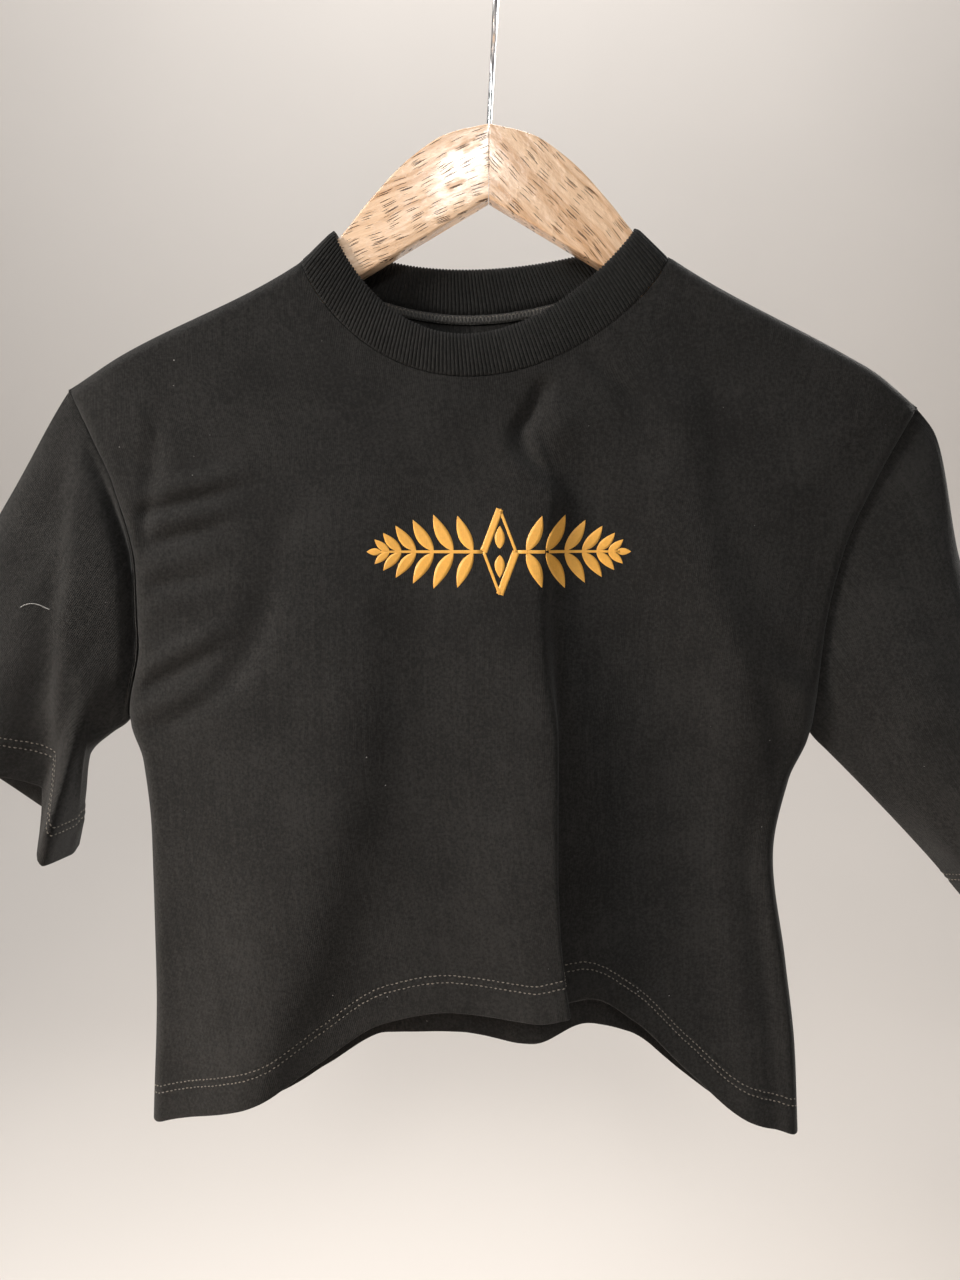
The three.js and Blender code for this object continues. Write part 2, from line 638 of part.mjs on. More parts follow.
function sleeveGeometry(name) {
  const form = sleeveForm(SLEEVES[name]);
  const ring = (p) => [
    ...SLEEVE_HALF.map((q) => form("front", p, q)),
    ...SLEEVE_HALF.slice(1, -1)
      .reverse()
      .map((q) => form("back", p, q)),
  ];
  const outer = SLEEVE_ROWS.map(ring);
  const count = SLEEVE_HALF.length;
  // The inside follows the outside, one wall in, and never crosses the middle of the flattened tube.
  const inner = outer.map((line, r) =>
    line.map((point, c) => {
      const opposite = line[(line.length - c) % line.length];
      const before = line[(c + line.length - 1) % line.length];
      const after = line[(c + 1) % line.length];
      const slope = Math.abs(after.y - before.y) / Math.hypot(after.x - before.x, after.z - before.z);
      const wall = SLEEVE_ROWS[r] >= SLEEVE_HEM_ROW ? HEM_WALL : WALL;
      const q = c < count ? SLEEVE_HALF[c] : SLEEVE_HALF[2 * count - 2 - c];
      const acrossTube = new THREE.Vector3().subVectors(line[count - 1], line[0]);
      const pinch = (wall * (1 - 2 * q)) / acrossTube.length();
      const centreY = (point.y + opposite.y) / 2;
      const half = Math.abs(point.y - centreY);
      const inside = Math.max(half - wall * Math.min(Math.hypot(1, slope), STEEPEST), HALF_GAP);
      const moved = point.clone().addScaledVector(acrossTube, pinch);
      moved.y = centreY + Math.sign(point.y - centreY) * inside;
      return moved;
    }),
  );
  return wallBetween(outer, inner, true);
}

// ---------------------------------------------------------------- neckband
const BAND_ROWS = [0, 0.3, 0.75, 1]; // from the neck seam to the fold along the band's top
const BAND_PUFF = 0.5;

// The band's columns stand on the columns of the two panels, so that both follow the same seam.
const neckShares = BODY_COLUMNS.filter((u) => u >= NECK_COLUMNS.from && u <= NECK_COLUMNS.to).map(
  (u) => (u - NECK_COLUMNS.from) / (NECK_COLUMNS.to - NECK_COLUMNS.from),
);
const frontTurns = neckShares.map((share) => 0.5 + 0.5 * share).slice(0, -1);
const backTurns = neckShares
  .map((share) => 0.5 - 0.5 * share)
  .reverse()
  .slice(0, -1);

function bandGeometry() {
  const turns = [...backTurns, ...frontTurns];
  const outer = BAND_ROWS.map((part) =>
    turns.map((turn) => {
      const seam = neckPoint(NECK_SEAM, turn, 0);
      const top = neckPoint(BAND_TOP, turn, 0);
      const x = lerp(seam.x, top.x, part);
      const z = lerp(seam.z, top.z, part);
      const sign = seam.side === "front" ? -1 : 1;
      const atShoulder = turn === 0 || turn === 0.5;
      const puff = BAND_PUFF * Math.sin(Math.PI * part);
      return new THREE.Vector3(x, atShoulder ? 0 : sign * (panelDepth(seam.side, x, z) + puff), z);
    }),
  );
  const normals = gridNormals(outer, true, 1);
  const inner = outer.map((line, r) =>
    line.map((point, c) => point.clone().addScaledVector(normals[r][c], -BAND_WALL)),
  );
  return wallBetween(outer, inner, true);
}

// The overlocked edge of the neck seam, lying down inside the back of the neck.
const ALLOWANCE = { from: 0.13, to: 0.37, steps: 20, high: 5, wall: 1.4, below: 0.6 };

function allowanceGeometry() {
  const turns = [...Array(ALLOWANCE.steps + 1).keys()].map((i) =>
    lerp(ALLOWANCE.from, ALLOWANCE.to, i / ALLOWANCE.steps),
  );
  const rowAt = (drop, wall) =>
    turns.map((turn) => {
      const seam = neckPoint(NECK_SEAM, turn, 0);
      const z = seam.z - ALLOWANCE.below - drop;
      const y = panelDepth("back", seam.x, z) - WALL - SEAM_GAP - wall;
      return new THREE.Vector3(seam.x, y, z);
    });
  const outer = [rowAt(0, 0), rowAt(ALLOWANCE.high, 0)];
  const inner = [rowAt(0, ALLOWANCE.wall), rowAt(ALLOWANCE.high, ALLOWANCE.wall)];
  return wallBetween(outer, inner, false);
}

// ---------------------------------------------------------------- hanger
const ARM_TIP = { out: 180, z: -217 }; // the underside of an arm's end
const ARM_TOP_STEPS = 22;
const ARM_TIP_STEPS = 8;
const HOLE_SIDES = 20;
const HOLE_DEPTH = WIRE_IN_WOOD + 1;

// The wire leans from the middle of the wood up to the origin.
const wireFoot = new THREE.Vector3(HANGER_X, 0, ARM_TOP[0].z);
const wireUp = wireFoot.clone().negate().normalize();

function toSolid(geometry) {
  const bare = geometry.index ? geometry.toNonIndexed() : geometry.clone();
  bare.deleteAttribute("normal");
  bare.deleteAttribute("uv");
  const merged = mergeVertices(bare, 1e-4);
  return new wasm.Manifold(
    new wasm.Mesh({
      numProp: 3,
      vertProperties: merged.attributes.position.array,
      triVerts: new Uint32Array(merged.index.array),
    }),
  );
}

function toGeometry(solid) {
  const { vertProperties, triVerts } = solid.getMesh();
  const geometry = new THREE.BufferGeometry();
  geometry.setAttribute("position", new THREE.Float32BufferAttribute(vertProperties, 3));
  geometry.setIndex([...triVerts]);
  geometry.computeVertexNormals();
  return geometry;
}

// The hole for the wire, drilled down from the top of the joint.
function wireHole() {
  const radius = WIRE_RADIUS + SEAM_GAP;
  const hole = new THREE.CylinderGeometry(radius, radius, 2 * HOLE_DEPTH, HOLE_SIDES);
  hole.applyQuaternion(new THREE.Quaternion().setFromUnitVectors(THREE.Object3D.DEFAULT_UP, wireUp));
  hole.translate(wireFoot.x, wireFoot.y, wireFoot.z);
  return hole;
}

// One flat arm of the hanger; sign is -1 for the arm at -X and 1 for the arm at +X.
function armGeometry(sign) {
  const topZ = through(ARM_TOP, "out", "z");
  const end = ARM_TOP[ARM_TOP.length - 1];
  const outline = [];
  for (let i = 0; i <= ARM_TOP_STEPS; i += 1) {
    const out = lerp(ARM_JOINT_GAP / 2, end.out, i / ARM_TOP_STEPS);
    outline.push(new THREE.Vector2(sign * out, topZ(out)));
  }
  const middle = new THREE.Vector2((end.out + ARM_TIP.out) / 2, (end.z + ARM_TIP.z) / 2);
  const radius = middle.distanceTo(new THREE.Vector2(end.out, end.z));
  const start = Math.atan2(end.z - middle.y, end.out - middle.x);
  for (let i = 1; i <= ARM_TIP_STEPS; i += 1) {
    const angle = start - (Math.PI * i) / ARM_TIP_STEPS;
    const out = middle.x + radius * Math.cos(angle);
    outline.push(new THREE.Vector2(sign * out, middle.y + radius * Math.sin(angle)));
  }
  outline.push(new THREE.Vector2((sign * ARM_JOINT_GAP) / 2, ARM_NOTCH_Z));
  const arm = new THREE.ExtrudeGeometry(new THREE.Shape(outline), {
    depth: HANGER_THICK - 2 * ARM_CHAMFER,
    bevelThickness: ARM_CHAMFER,
    bevelSize: ARM_CHAMFER,
    bevelOffset: -ARM_CHAMFER,
    bevelSegments: 1,
  });
  arm.rotateX(Math.PI / 2);
  arm.translate(HANGER_X, HANGER_THICK / 2 - ARM_CHAMFER, 0);
  return toGeometry(toSolid(arm).subtract(toSolid(wireHole())));
}

// The wire: straight up out of the wood, forward in an easy bend, and round over the rail in a plain loop.
const BEND_RADIUS = 16;
const LOOP_PAST_TOP = 115; // degrees that the loop runs on behind its top
const BEND_STEPS = 6;
const LOOP_STEPS = 18;
const WIRE_SIDES = 10;
const WIRE_STEPS = 90;

function hookGeometry() {
  const loopRadius = HOOK_INNER_RADIUS + WIRE_RADIUS;
  const loopUp = wireFoot.length() - HOOK_INNER_RADIUS;
  // The bend and the loop touch where both lean this far forward from the wire's own line.
  const lean = Math.acos(BEND_RADIUS / (loopRadius + BEND_RADIUS));
  const bendUp = loopUp - (loopRadius + BEND_RADIUS) * Math.sin(lean);
  const route = [-WIRE_IN_WOOD, -WIRE_IN_WOOD / 2, 0, bendUp / 2].map((up) => ({ up, forward: 0 }));
  for (let i = 0; i < BEND_STEPS; i += 1) {
    const angle = (lean * i) / BEND_STEPS;
    route.push({ up: bendUp + BEND_RADIUS * Math.sin(angle), forward: BEND_RADIUS * (1 - Math.cos(angle)) });
  }
  const first = Math.PI / 2 + lean;
  const last = -THREE.MathUtils.degToRad(LOOP_PAST_TOP);
  for (let i = 0; i <= LOOP_STEPS; i += 1) {
    const angle = lerp(first, last, i / LOOP_STEPS);
    route.push({ up: loopUp + loopRadius * Math.cos(angle), forward: loopRadius * Math.sin(angle) });
  }
  const points = route.map(({ up, forward }) =>
    wireFoot.clone().addScaledVector(wireUp, up).add(new THREE.Vector3(0, -forward, 0)),
  );
  const section = new THREE.Shape(
    [...Array(WIRE_SIDES).keys()].map((i) => {
      const angle = (2 * Math.PI * i) / WIRE_SIDES;
      return new THREE.Vector2(WIRE_RADIUS * Math.cos(angle), WIRE_RADIUS * Math.sin(angle));
    }),
  );
  return new THREE.ExtrudeGeometry(section, {
    steps: WIRE_STEPS,
    extrudePath: new THREE.CatmullRomCurve3(points, false, "centripetal"),
  });
}

// ---------------------------------------------------------------- the whole part
const knit = new THREE.MeshStandardMaterial({ color: 0x1f1d1b, roughness: 0.92, metalness: 0 });
const rib = new THREE.MeshStandardMaterial({ color: 0x1b1a18, roughness: 0.95, metalness: 0 });
const overlock = new THREE.MeshStandardMaterial({ color: 0x3a3733, roughness: 0.9, metalness: 0 });
const wood = new THREE.MeshStandardMaterial({ color: 0xdcb98e, roughness: 0.38, metalness: 0 });
const wire = new THREE.MeshStandardMaterial({ color: 0xc4c8cc, roughness: 0.22, metalness: 1 });

const PIECES = [
  { name: "hanger_arm_left", geometry: armGeometry(-1), material: wood },
  { name: "hanger_arm_right", geometry: armGeometry(1), material: wood },
  { name: "hanger_hook", geometry: hookGeometry(), material: wire },
  { name: "front_panel", geometry: panelGeometry("front"), material: knit },
  { name: "back_panel", geometry: panelGeometry("back"), material: knit },
  { name: "sleeve_left", geometry: sleeveGeometry("left"), material: knit },
  { name: "sleeve_right", geometry: sleeveGeometry("right"), material: knit },
  { name: "neck_band", geometry: bandGeometry(), material: rib },
  { name: "neck_seam_allowance", geometry: allowanceGeometry(), material: overlock },
];

const cropTop = new THREE.Group();
for (const { name, geometry, material } of PIECES) {
  const mesh = new THREE.Mesh(geometry, material);
  mesh.name = name;
  cropTop.add(mesh);
}

export default cropTop;
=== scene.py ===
"""A short knitted top on a flat wooden hanger: cloth, ribbed neckband, sewing, print, wood and wire."""

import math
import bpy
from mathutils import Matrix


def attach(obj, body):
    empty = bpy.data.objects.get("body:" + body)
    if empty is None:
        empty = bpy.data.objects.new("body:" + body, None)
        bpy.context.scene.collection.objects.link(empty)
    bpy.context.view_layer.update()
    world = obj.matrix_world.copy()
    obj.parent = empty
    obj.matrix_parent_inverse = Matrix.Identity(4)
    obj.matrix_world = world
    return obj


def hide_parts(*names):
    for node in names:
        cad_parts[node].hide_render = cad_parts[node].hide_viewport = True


bl_info = {
    "name": "Crop Top on a Wooden Hanger",
    "version": (1, 0, 0),
    "blender": (4, 5, 0),
    "location": "View3D > Sidebar > Crop Top",
    "description": "Builds a knitted crop top with its hanger around the packed frame",
    "category": "Add Mesh",
}

from functools import lru_cache

import bpy
import numpy as np
from bpy.props import FloatProperty, FloatVectorProperty, IntProperty, PointerProperty
from mathutils import Matrix, Vector

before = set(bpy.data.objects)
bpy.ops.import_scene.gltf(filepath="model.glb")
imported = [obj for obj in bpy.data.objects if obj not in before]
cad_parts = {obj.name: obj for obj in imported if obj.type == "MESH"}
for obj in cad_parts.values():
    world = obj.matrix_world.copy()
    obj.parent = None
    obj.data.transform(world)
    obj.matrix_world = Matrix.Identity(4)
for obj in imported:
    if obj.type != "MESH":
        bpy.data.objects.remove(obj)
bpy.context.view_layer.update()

MM = 0.001
WALE, COURSE = 0.0009, 0.0007  # the width and the height of the knit's stitches, in metres

# ---------------------------------------------------------------- the form, in millimetres
# The top's own sizes. The front faces -Y, and the hook's inside top is the origin.
WALL = 1.2  # one layer of the knit
HEM_TURN = 22.0  # how far the hems are turned up inside
HEM_ZONE = 26.0  # the rows of a mesh that keep their distance from the hem
MID_GAP = 0.15  # from the middle plane to either panel where they are sewn
ARMHOLE_GAP = 0.25  # from the body's edge out to where a sleeve starts
NECK_GAP = 0.3  # from the band's seam line out to where the panels start
NECK_X = -7.0  # the middle of the neck opening
SHOULDER_WRAP = 8.0  # how far below the shoulder line the cloth has turned down
EDGE_TURN = 8.0  # how far in from its edges a panel has turned to face forward, at half of its depth
FOLDS_GROW = 50.0  # how far below the shoulder's turn the folds reach their full height
WAVES_GROW = 12.0  # how far in from a panel's sides the small ridges do
FAR = 99  # past the reach of any seam
# z, how far in from its left or its right edge it reaches its full depth
LEFT_ROUND = ((-206, 30), (-240, 38), (-290, 70), (-610, 70))
RIGHT_ROUND = ((-215, 30), (-245, 38), (-290, 58), (-380, 52), (-430, 36), (-610, 30))
ARMHOLE_SHARE = 0.62  # the part of that depth that the middle of an armhole has
ARMPIT_LEFT = -378.0
ARMPIT_RIGHT = -385.0

SHOULDER = (  # x, z of the line along the top of both shoulders
    (-220, -206), (-190, -188), (-98, -142), (-83, -128), (-45, -92), (33, -92),
    (70, -126.5), (85, -139.5), (176, -188), (193, -197.5), (216, -215),
)
LEFT_EDGE = (  # z, x down the left armhole and side seam
    (-206, -220), (-231, -208), (-255, -197.5), (-300, -187), (-335, -187), (ARMPIT_LEFT, -195),
    (-400, -189), (-440, -186), (-520, -186.5), (-602, -191),
)
RIGHT_EDGE = (  # z, x down the right armhole and side seam
    (-215, 216), (-250, 196), (-290, 178.5), (-330, 170.5), (ARMPIT_RIGHT, 166.5),
    (-410, 156.5), (-450, 149.5), (-510, 158), (-560, 165), (-610, 168.5),
)
HEM = (  # x, z of the front's hem, z of the back's hem
    (-191, -602, -602), (-160, -592, -600), (-125, -579, -594), (-95, -560, -578), (-60, -538, -560),
    (-25, -531.5, -558), (20, -533, -562), (50, -526, -553), (75, -541, -560), (105, -572, -582),
    (137, -600, -602), (168.5, -610, -610),
)
DEPTH = (  # z, how far the front and the back stand from the middle plane
    (-120, 9.4, 9.4), (-180, 10.6, 9.6), (-240, 12.5, 10), (-320, 15.5, 11), (-400, 18.5, 11),
    (-500, 20, 11), (-610, 20, 11),
)
# Folds of the front that turn over an edge. For each: z, x of the edge, how far its left side stands
# forward and its right side lies behind, how softly it turns, how far the left side's bulge reaches, and
# where the right side's hollow is deepest and how far it reaches.
MAIN_FOLD = (
    (-222, 17, 0, 0, 4, 20, 10, 14), (-240, 24, 2.4, 2.6, 4, 22, 11, 14), (-262, 31, 4, 4.2, 4, 34, 14, 20),
    (-290, 28, 5, 5, 4, 46, 22, 30), (-320, 26, 6.4, 6, 4, 48, 38, 40), (-353, 28, 8.4, 8, 3.2, 45, 50, 46),
    (-384, 31, 9.8, 9.8, 2.6, 43, 60, 50), (-417, 31, 11, 11.4, 2.1, 42, 70, 56),
    (-450, 31, 12, 12.6, 1.7, 42, 78, 60), (-480, 32, 12.6, 13.2, 1.4, 42, 82, 62),
    (-510, 35, 13, 13.6, 1.3, 42, 84, 62),
    (-530, 38, 13, 13.6, 1.3, 42, 84, 62),
)
LEFT_FOLD = (
    (-225, -52, 0, 0, 12, 60, 30, 30), (-262, -52, 2, 0, 12, 60, 30, 30), (-300, -54, 4.2, 0, 12, 60, 30, 30),
    (-354, -59, 7.8, 0, 13, 60, 30, 30), (-385, -60, 9.4, 0, 14, 60, 30, 30),
    (-417, -66, 10.8, 0, 16, 60, 30, 30), (-450, -74, 12, 0, 17, 58, 30, 30),
    (-482, -83, 12.5, 0, 16, 56, 30, 30), (-516, -94, 12.5, 0, 15, 50, 30, 30),
    (-560, -112, 12, 0, 16, 44, 30, 30), (-610, -124, 10, 0, 18, 40, 30, 30),
)

# Broad folds that run down the front: z, x, height, and how far they reach to the left and to the right.
FRONT_FOLDS = (
    (  # the ridge that runs from the right of the neck to the right side seam
        (-192, 85, 0, 14, 12), (-215, 91, 3.2, 15, 12), (-262, 99, 3.8, 17, 13), (-293, 105, 4.4, 20, 13),
        (-323, 114, 5.4, 22, 13), (-354, 124, 6.5, 24, 13), (-385, 132, 6, 24, 14), (-417, 139, 5, 24, 14),
        (-450, 139, 4.5, 24, 12), (-516, 148, 4, 24, 12), (-610, 157, 3.5, 24, 12),
    ),
    (  # the trough that drags down to the left armpit
        (-258, -106, 0, 10, 10), (-285, -112, -2, 11, 10), (-323, -121, -3.2, 11, 9),
        (-354, -138, -3.4, 12, 9), (-372, -160, -2.4, 12, 8), (-384, -180, 0, 10, 8),
    ),
    (  # the crease that drags up from the deep fold to the neck seam
        (-199, 24, 0, 6, 5), (-207, 22.5, -3, 6, 5), (-217, 18, -4, 6, 5), (-229, 12, -4.4, 6.5, 5),
        (-238, 14, -3.8, 7, 5), (-248, 23, -2.4, 6, 5), (-258, 31, 0, 6, 6),
    ),
    (  # the lump beside it
        (-207, 30, 0, 7, 10), (-218, 31, 1.8, 7, 11), (-229, 30, 3.2, 7, 12), (-240, 33, 2, 7, 12),
        (-252, 40, 0, 8, 12),
    ),
)

# Smaller ridges (rise above 0) and troughs: from x, z to x, z, their height and their half width.
FRONT_WAVES = (
    (43, -186, 74, -216, -1.8, 5.5),
    (165, -384, 112, -300, 2.4, 16),
    # the drag lines beside the left armhole: one down, and those that fan out from it
    (-172, -214, -178, -262, -2.6, 5),
    (-178, -262, -186, -290, -2.2, 4.5),
    (-195, -240, -178, -242, -1.4, 3),
    (-186, -262, -128, -248, 2.0, 5),
    (-184, -269, -126, -255, -2.4, 3),
    (-184, -277, -134, -266, 2.2, 4),
    (-186, -287, -138, -274, -2.0, 3),
    (-186, -298, -140, -288, 1.7, 5),
    (-184, -307, -146, -302, -1.6, 3.5),
    (-186, -318, -150, -311, 1.2, 5),
    (-190, -352, -138, -326, 2.2, 5),
    (-190, -363, -140, -338, -2.2, 4),
    (-192, -374, -142, -357, 2.0, 5.5),
    # and beside the right one
    (172, -372, 138, -348, 1.2, 6),
    (171, -350, 142, -338, -1.0, 5),
    (170, -330, 140, -322, 0.8, 6),
)
BACK_WAVES = (
    (-60, -250, -78, -600, 8.5, 24),
    (8, -300, 22, -600, -9.35, 20),
    (70, -230, 92, -600, 9.35, 22),
    (-185, -372, -110, -280, -4.08, 18),
    (160, -380, 110, -290, -4.08, 18),
    (-135, -430, -140, -605, -5.1, 20),
    (132, -450, 138, -605, -5.1, 16),
    (-186, -300, -140, -286, 1.87, 6),
    (-186, -340, -146, -322, 1.53, 5),
    (168, -310, 132, -300, 1.87, 6),
    (166, -352, 128, -330, 1.36, 6),
)

# The neck seam and the band's top edge: half width, top, then how far each dips and how late.
NECK_SEAM = dict(half=92, top=-141.5, front=59, front_power=1.5, back=25.5, back_power=2.2, skew=8)
BAND_TOP = dict(half=76.5, top=-127.3, front=53, front_power=1.75, back=17.5, back_power=1.5, skew=10)

# Each sleeve: share of the way down its top fold and its underarm with x and z, then its hem.
SLEEVES = {
    "left": dict(
        top=((0, -220, -206), (0.12, -228, -218), (0.35, -251, -256), (0.7, -296, -325), (1, -331, -381)),
        under=((0, -195, ARMPIT_LEFT), (0.35, -218, -398), (0.7, -222, -424), (1, -229, -449)),
        hem_front=(  # share of the way from the top fold to the underarm, x, z, y
            (0, -331, -381, 0), (0.12, -316, -387, -13), (0.38, -283, -398, -18), (0.66, -247, -409, -6),
            (0.72, -242.5, -412, -4.5), (0.755, -242, -428, -9), (0.83, -239.5, -446, -21),
            (0.87, -237, -449, -20), (0.925, -230.5, -449, -2), (1, -229, -446, 6),
        ),
        hem_back=(
            (0, -331, -381, 0), (0.15, -316, -388, 12), (0.5, -281, -412, 22), (0.85, -246, -437, 22),
            (1, -229, -449, 6),
        ),
        high=-206,
        armpit=ARMPIT_LEFT,
        out=-1,
        pleat=(  # z, x of the upright fold's edge, and its height
            (-206, -216, 0), (-228, -218, 2.5), (-260, -220, 5), (-300, -223, 7), (-370, -232, 9),
            (-440, -239, 10),
        ),
        set_in=3.0,  # how much further behind the body's edge the sleeve's cloth lies
        waves=(  # from share down and share round to the same, height, half width
            (0.12, 0.2, 0.62, 0.34, 1.4, 0.07), (0.3, 0.5, 0.85, 0.52, -1.2, 0.06),
            (0.03, 0.2, 0.045, 0.95, -5.5, 0.05), (0.18, 0.8, 0.5, 0.66, 1.5, 0.05),
        ),
    ),
    "right": dict(
        top=((0, 216, -215), (0.12, 227, -230), (0.4, 242, -291), (0.7, 263, -348), (1, 296, -399)),
        under=((0, 166.5, ARMPIT_RIGHT), (0.35, 199, -417), (0.7, 231, -450), (1, 257, -479)),
        hem_front=(
            (0, 296, -399, 0), (0.14, 296, -410, -20), (0.5, 284, -440, -36), (0.84, 263, -471, -19),
            (1, 257, -479, 2),
        ),
        hem_back=(
            (0, 296, -399, 0), (0.14, 292, -408, 18), (0.5, 275, -438, 32), (0.84, 259, -470, 18),
            (1, 257, -479, 2),
        ),
        high=-215,
        armpit=ARMPIT_RIGHT,
        out=1,
        pleat=None,
        set_in=0.4,
        waves=(
            (0.04, 0.85, 0.5, 0.42, 2.0, 0.1), (0.1, 0.3, 0.8, 0.3, -1.4, 0.08),
            (0.3, 0.7, 0.9, 0.68, 1.4, 0.07),
        ),
    ),
}


def through(rows, to=1, by=0):
    """A smooth function through a table's rows, from one column to another, that never overshoots."""
    table = np.array(sorted(rows, key=lambda row: row[by]), float)
    at, value = table[:, by], table[:, to]
    span = np.diff(at)
    slope = np.diff(value) / span
    before, after = slope[:-1], slope[1:]
    level = before * after <= 0
    inner = np.where(level, 0, 2 * before * after / np.where(level, 1, before + after))
    tangent = np.concatenate(([slope[0]], inner, [slope[-1]]))

    def read(x):
        x = np.clip(x, at[0], at[-1])
        i = np.clip(np.searchsorted(at, x, side="right") - 1, 0, len(span) - 1)
        t = (x - at[i]) / span[i]
        rest = 1 - t
        ends = value[i] * (1 + 2 * t) * rest**2 + value[i + 1] * t**2 * (3 - 2 * t)
        return ends + span[i] * t * rest * (tangent[i] * rest - tangent[i + 1] * t)

    return read


def quarter(t):
    """A quarter circle: upright at 0, level from 1 on."""
    return np.sqrt(1 - (1 - np.clip(t, 0, 1)) ** 2)


def smooth(t):
    """From 0 to 1, level at both ends."""
    t = np.clip(t, 0, 1)
    return t * t * (3 - 2 * t)


def turned(distance, width):
    """From 0 to 1 across a fold's turn."""
    return 0.5 + 0.5 * np.tanh(distance / width)


def lerp(a, b, t):
    """What lies the share t of the way from a to b."""
    return a + (b - a) * t


def uneven(along, pitch, shift=0.0):
    """A wave of about this pitch whose height and spacing vary, between -1 and 1."""
    turn = 2 * np.pi * along / pitch
    slow = 0.7 * np.sin(0.61 * turn + 2.1 * shift + 1)
    quick = 0.5 * np.sin(1.43 * turn + 3.7 * shift)
    return (np.sin(turn + shift) + slow + quick) / 2.2


def pucker(along, away, height, pitch, shift, middle, reach):
    """The small waves that sewing leaves in cloth, highest this far from the seam."""
    return height * uneven(along, pitch, shift) * np.exp(-(((away - middle) / reach) ** 2))


def slow_drift(x, z):
    """The slow unevenness of a hung panel."""
    return 0.5 * uneven(x + 0.3 * z, 95, 2.2)


def waves_at(waves, x, z):
    """The height that a list of ridges and troughs adds at a place."""
    height = np.zeros(np.broadcast(x, z).shape)
    for x0, z0, x1, z1, rise, wide in waves:
        dx, dz = x1 - x0, z1 - z0
        t = np.clip(((x - x0) * dx + (z - z0) * dz) / (dx * dx + dz * dz), 0, 1)
        away = np.hypot(x - x0 - t * dx, z - z0 - t * dz)
        fade = smooth(0.35 + 2 * t) * smooth(0.35 + 2 * (1 - t))
        height += rise * fade * np.exp(-((away / wide) ** 2))
    return height


shoulder_z = through(SHOULDER)
left_x = through(LEFT_EDGE)
right_x = through(RIGHT_EDGE)
hem_z = {"front": through(HEM, 1), "back": through(HEM, 2)}
depth_of = {"front": through(DEPTH, 1), "back": through(DEPTH, 2)}
turned_folds = [[through(rows, column) for column in range(1, 8)] for rows in (MAIN_FOLD, LEFT_FOLD)]
front_folds = [[through(rows, column) for column in range(1, 5)] for rows in FRONT_FOLDS]
fold_x = turned_folds[0][0]
left_round, right_round = through(LEFT_ROUND), through(RIGHT_ROUND)


def folds_at(folds, x, z):
    """The height that a list of broad folds adds at a place."""
    height = np.zeros(np.broadcast(x, z).shape)
    for line, rise, to_left, to_right in folds:
        away = x - line(z)
        height += rise(z) * np.exp(-((away / np.where(away < 0, to_left(z), to_right(z))) ** 2))
    return height


def turned_at(x, z):
    """The height that the folds which turn over an edge add to the front."""
    height = np.zeros(np.broadcast(x, z).shape)
    for fold in turned_folds:
        edge, ahead, back, softness, reach, deepest, hollow = (read(z) for read in fold)
        away = x - edge
        side = turned(away, softness)
        height += ahead * np.exp(-((np.minimum(away, 0) / reach) ** 2)) * (1 - side)
        height -= back * np.exp(-(((away - deepest) / hollow) ** 2)) * side
    return height


def edge_share(z, top, armpit):
    """The part of a panel's depth that its edge has: some along the armhole, none elsewhere."""
    t = np.clip((z - top) / (armpit - top), 0, 1)
    return ARMHOLE_SHARE * np.sin(np.pi * t) ** 0.5


def panel_depth(side, x, z):
    """How far a panel's outside stands from the middle plane."""
    from_left, from_right = x - left_x(z), right_x(z) - x
    share = np.where(
        from_left < from_right,
        edge_share(z, LEFT_EDGE[0][0], ARMPIT_LEFT),
        edge_share(z, RIGHT_EDGE[0][0], ARMPIT_RIGHT),
    )
    edge = np.minimum(from_left, from_right)
    inward = np.minimum(from_left / left_round(z), from_right / right_round(z))
    sides = share + (1 - share) * (0.5 * quarter(edge / EDGE_TURN) + 0.5 * smooth(inward))
    below = shoulder_z(x) - z
    top = quarter(below / SHOULDER_WRAP)
    clear = smooth((below - 2 * SHOULDER_WRAP) / FOLDS_GROW)
    waves = waves_at(FRONT_WAVES if side == "front" else BACK_WAVES, x, z) * smooth(edge / WAVES_GROW)
    folds = (turned_at(x, z) + folds_at(front_folds, x, z)) * smooth(inward * 2) if side == "front" else 0
    return MID_GAP + (depth_of[side](z) - MID_GAP) * sides * top + (folds + waves) * clear


def neck_point(ring, turn, grow=0.0):
    """x, z of a ring around the neck. turn runs from the right shoulder (0) over the back to the left one
    (a half) and along the front."""
    angle = 2 * np.pi * turn
    dip = np.abs(np.sin(angle))
    drop = np.where(
        turn < 0.5,
        (ring["back"] + grow) * dip ** ring["back_power"],
        (ring["front"] + grow) * dip ** ring["front_power"],
    )
    x = NECK_X + (ring["half"] + grow) * np.cos(angle) - ring["skew"] * dip**2
    return x, ring["top"] - grow / 2 - drop


# ---------------------------------------------------------------- sheets of cloth
def unit(vectors):
    """The same directions at a length of 1."""
    return vectors / np.maximum(np.linalg.norm(vectors, axis=-1, keepdims=True), 1e-9)


def grid_normals(grid, closed, facing):
    """The unit normals of a grid of points; a closed grid joins its last column to its first."""
    along = np.gradient(grid, axis=0)
    if closed:
        across = np.roll(grid, -1, axis=1) - np.roll(grid, 1, axis=1)
    else:
        across = np.gradient(grid, axis=1)
    return unit(np.cross(across, along)) * facing


def between(knots, each):
    """The knots of a list with steps between them: each says how many steps a span is divided into."""
    count = (len(knots) - 1) * each
    return np.interp(np.arange(count + 1) / each, np.arange(len(knots)), knots)


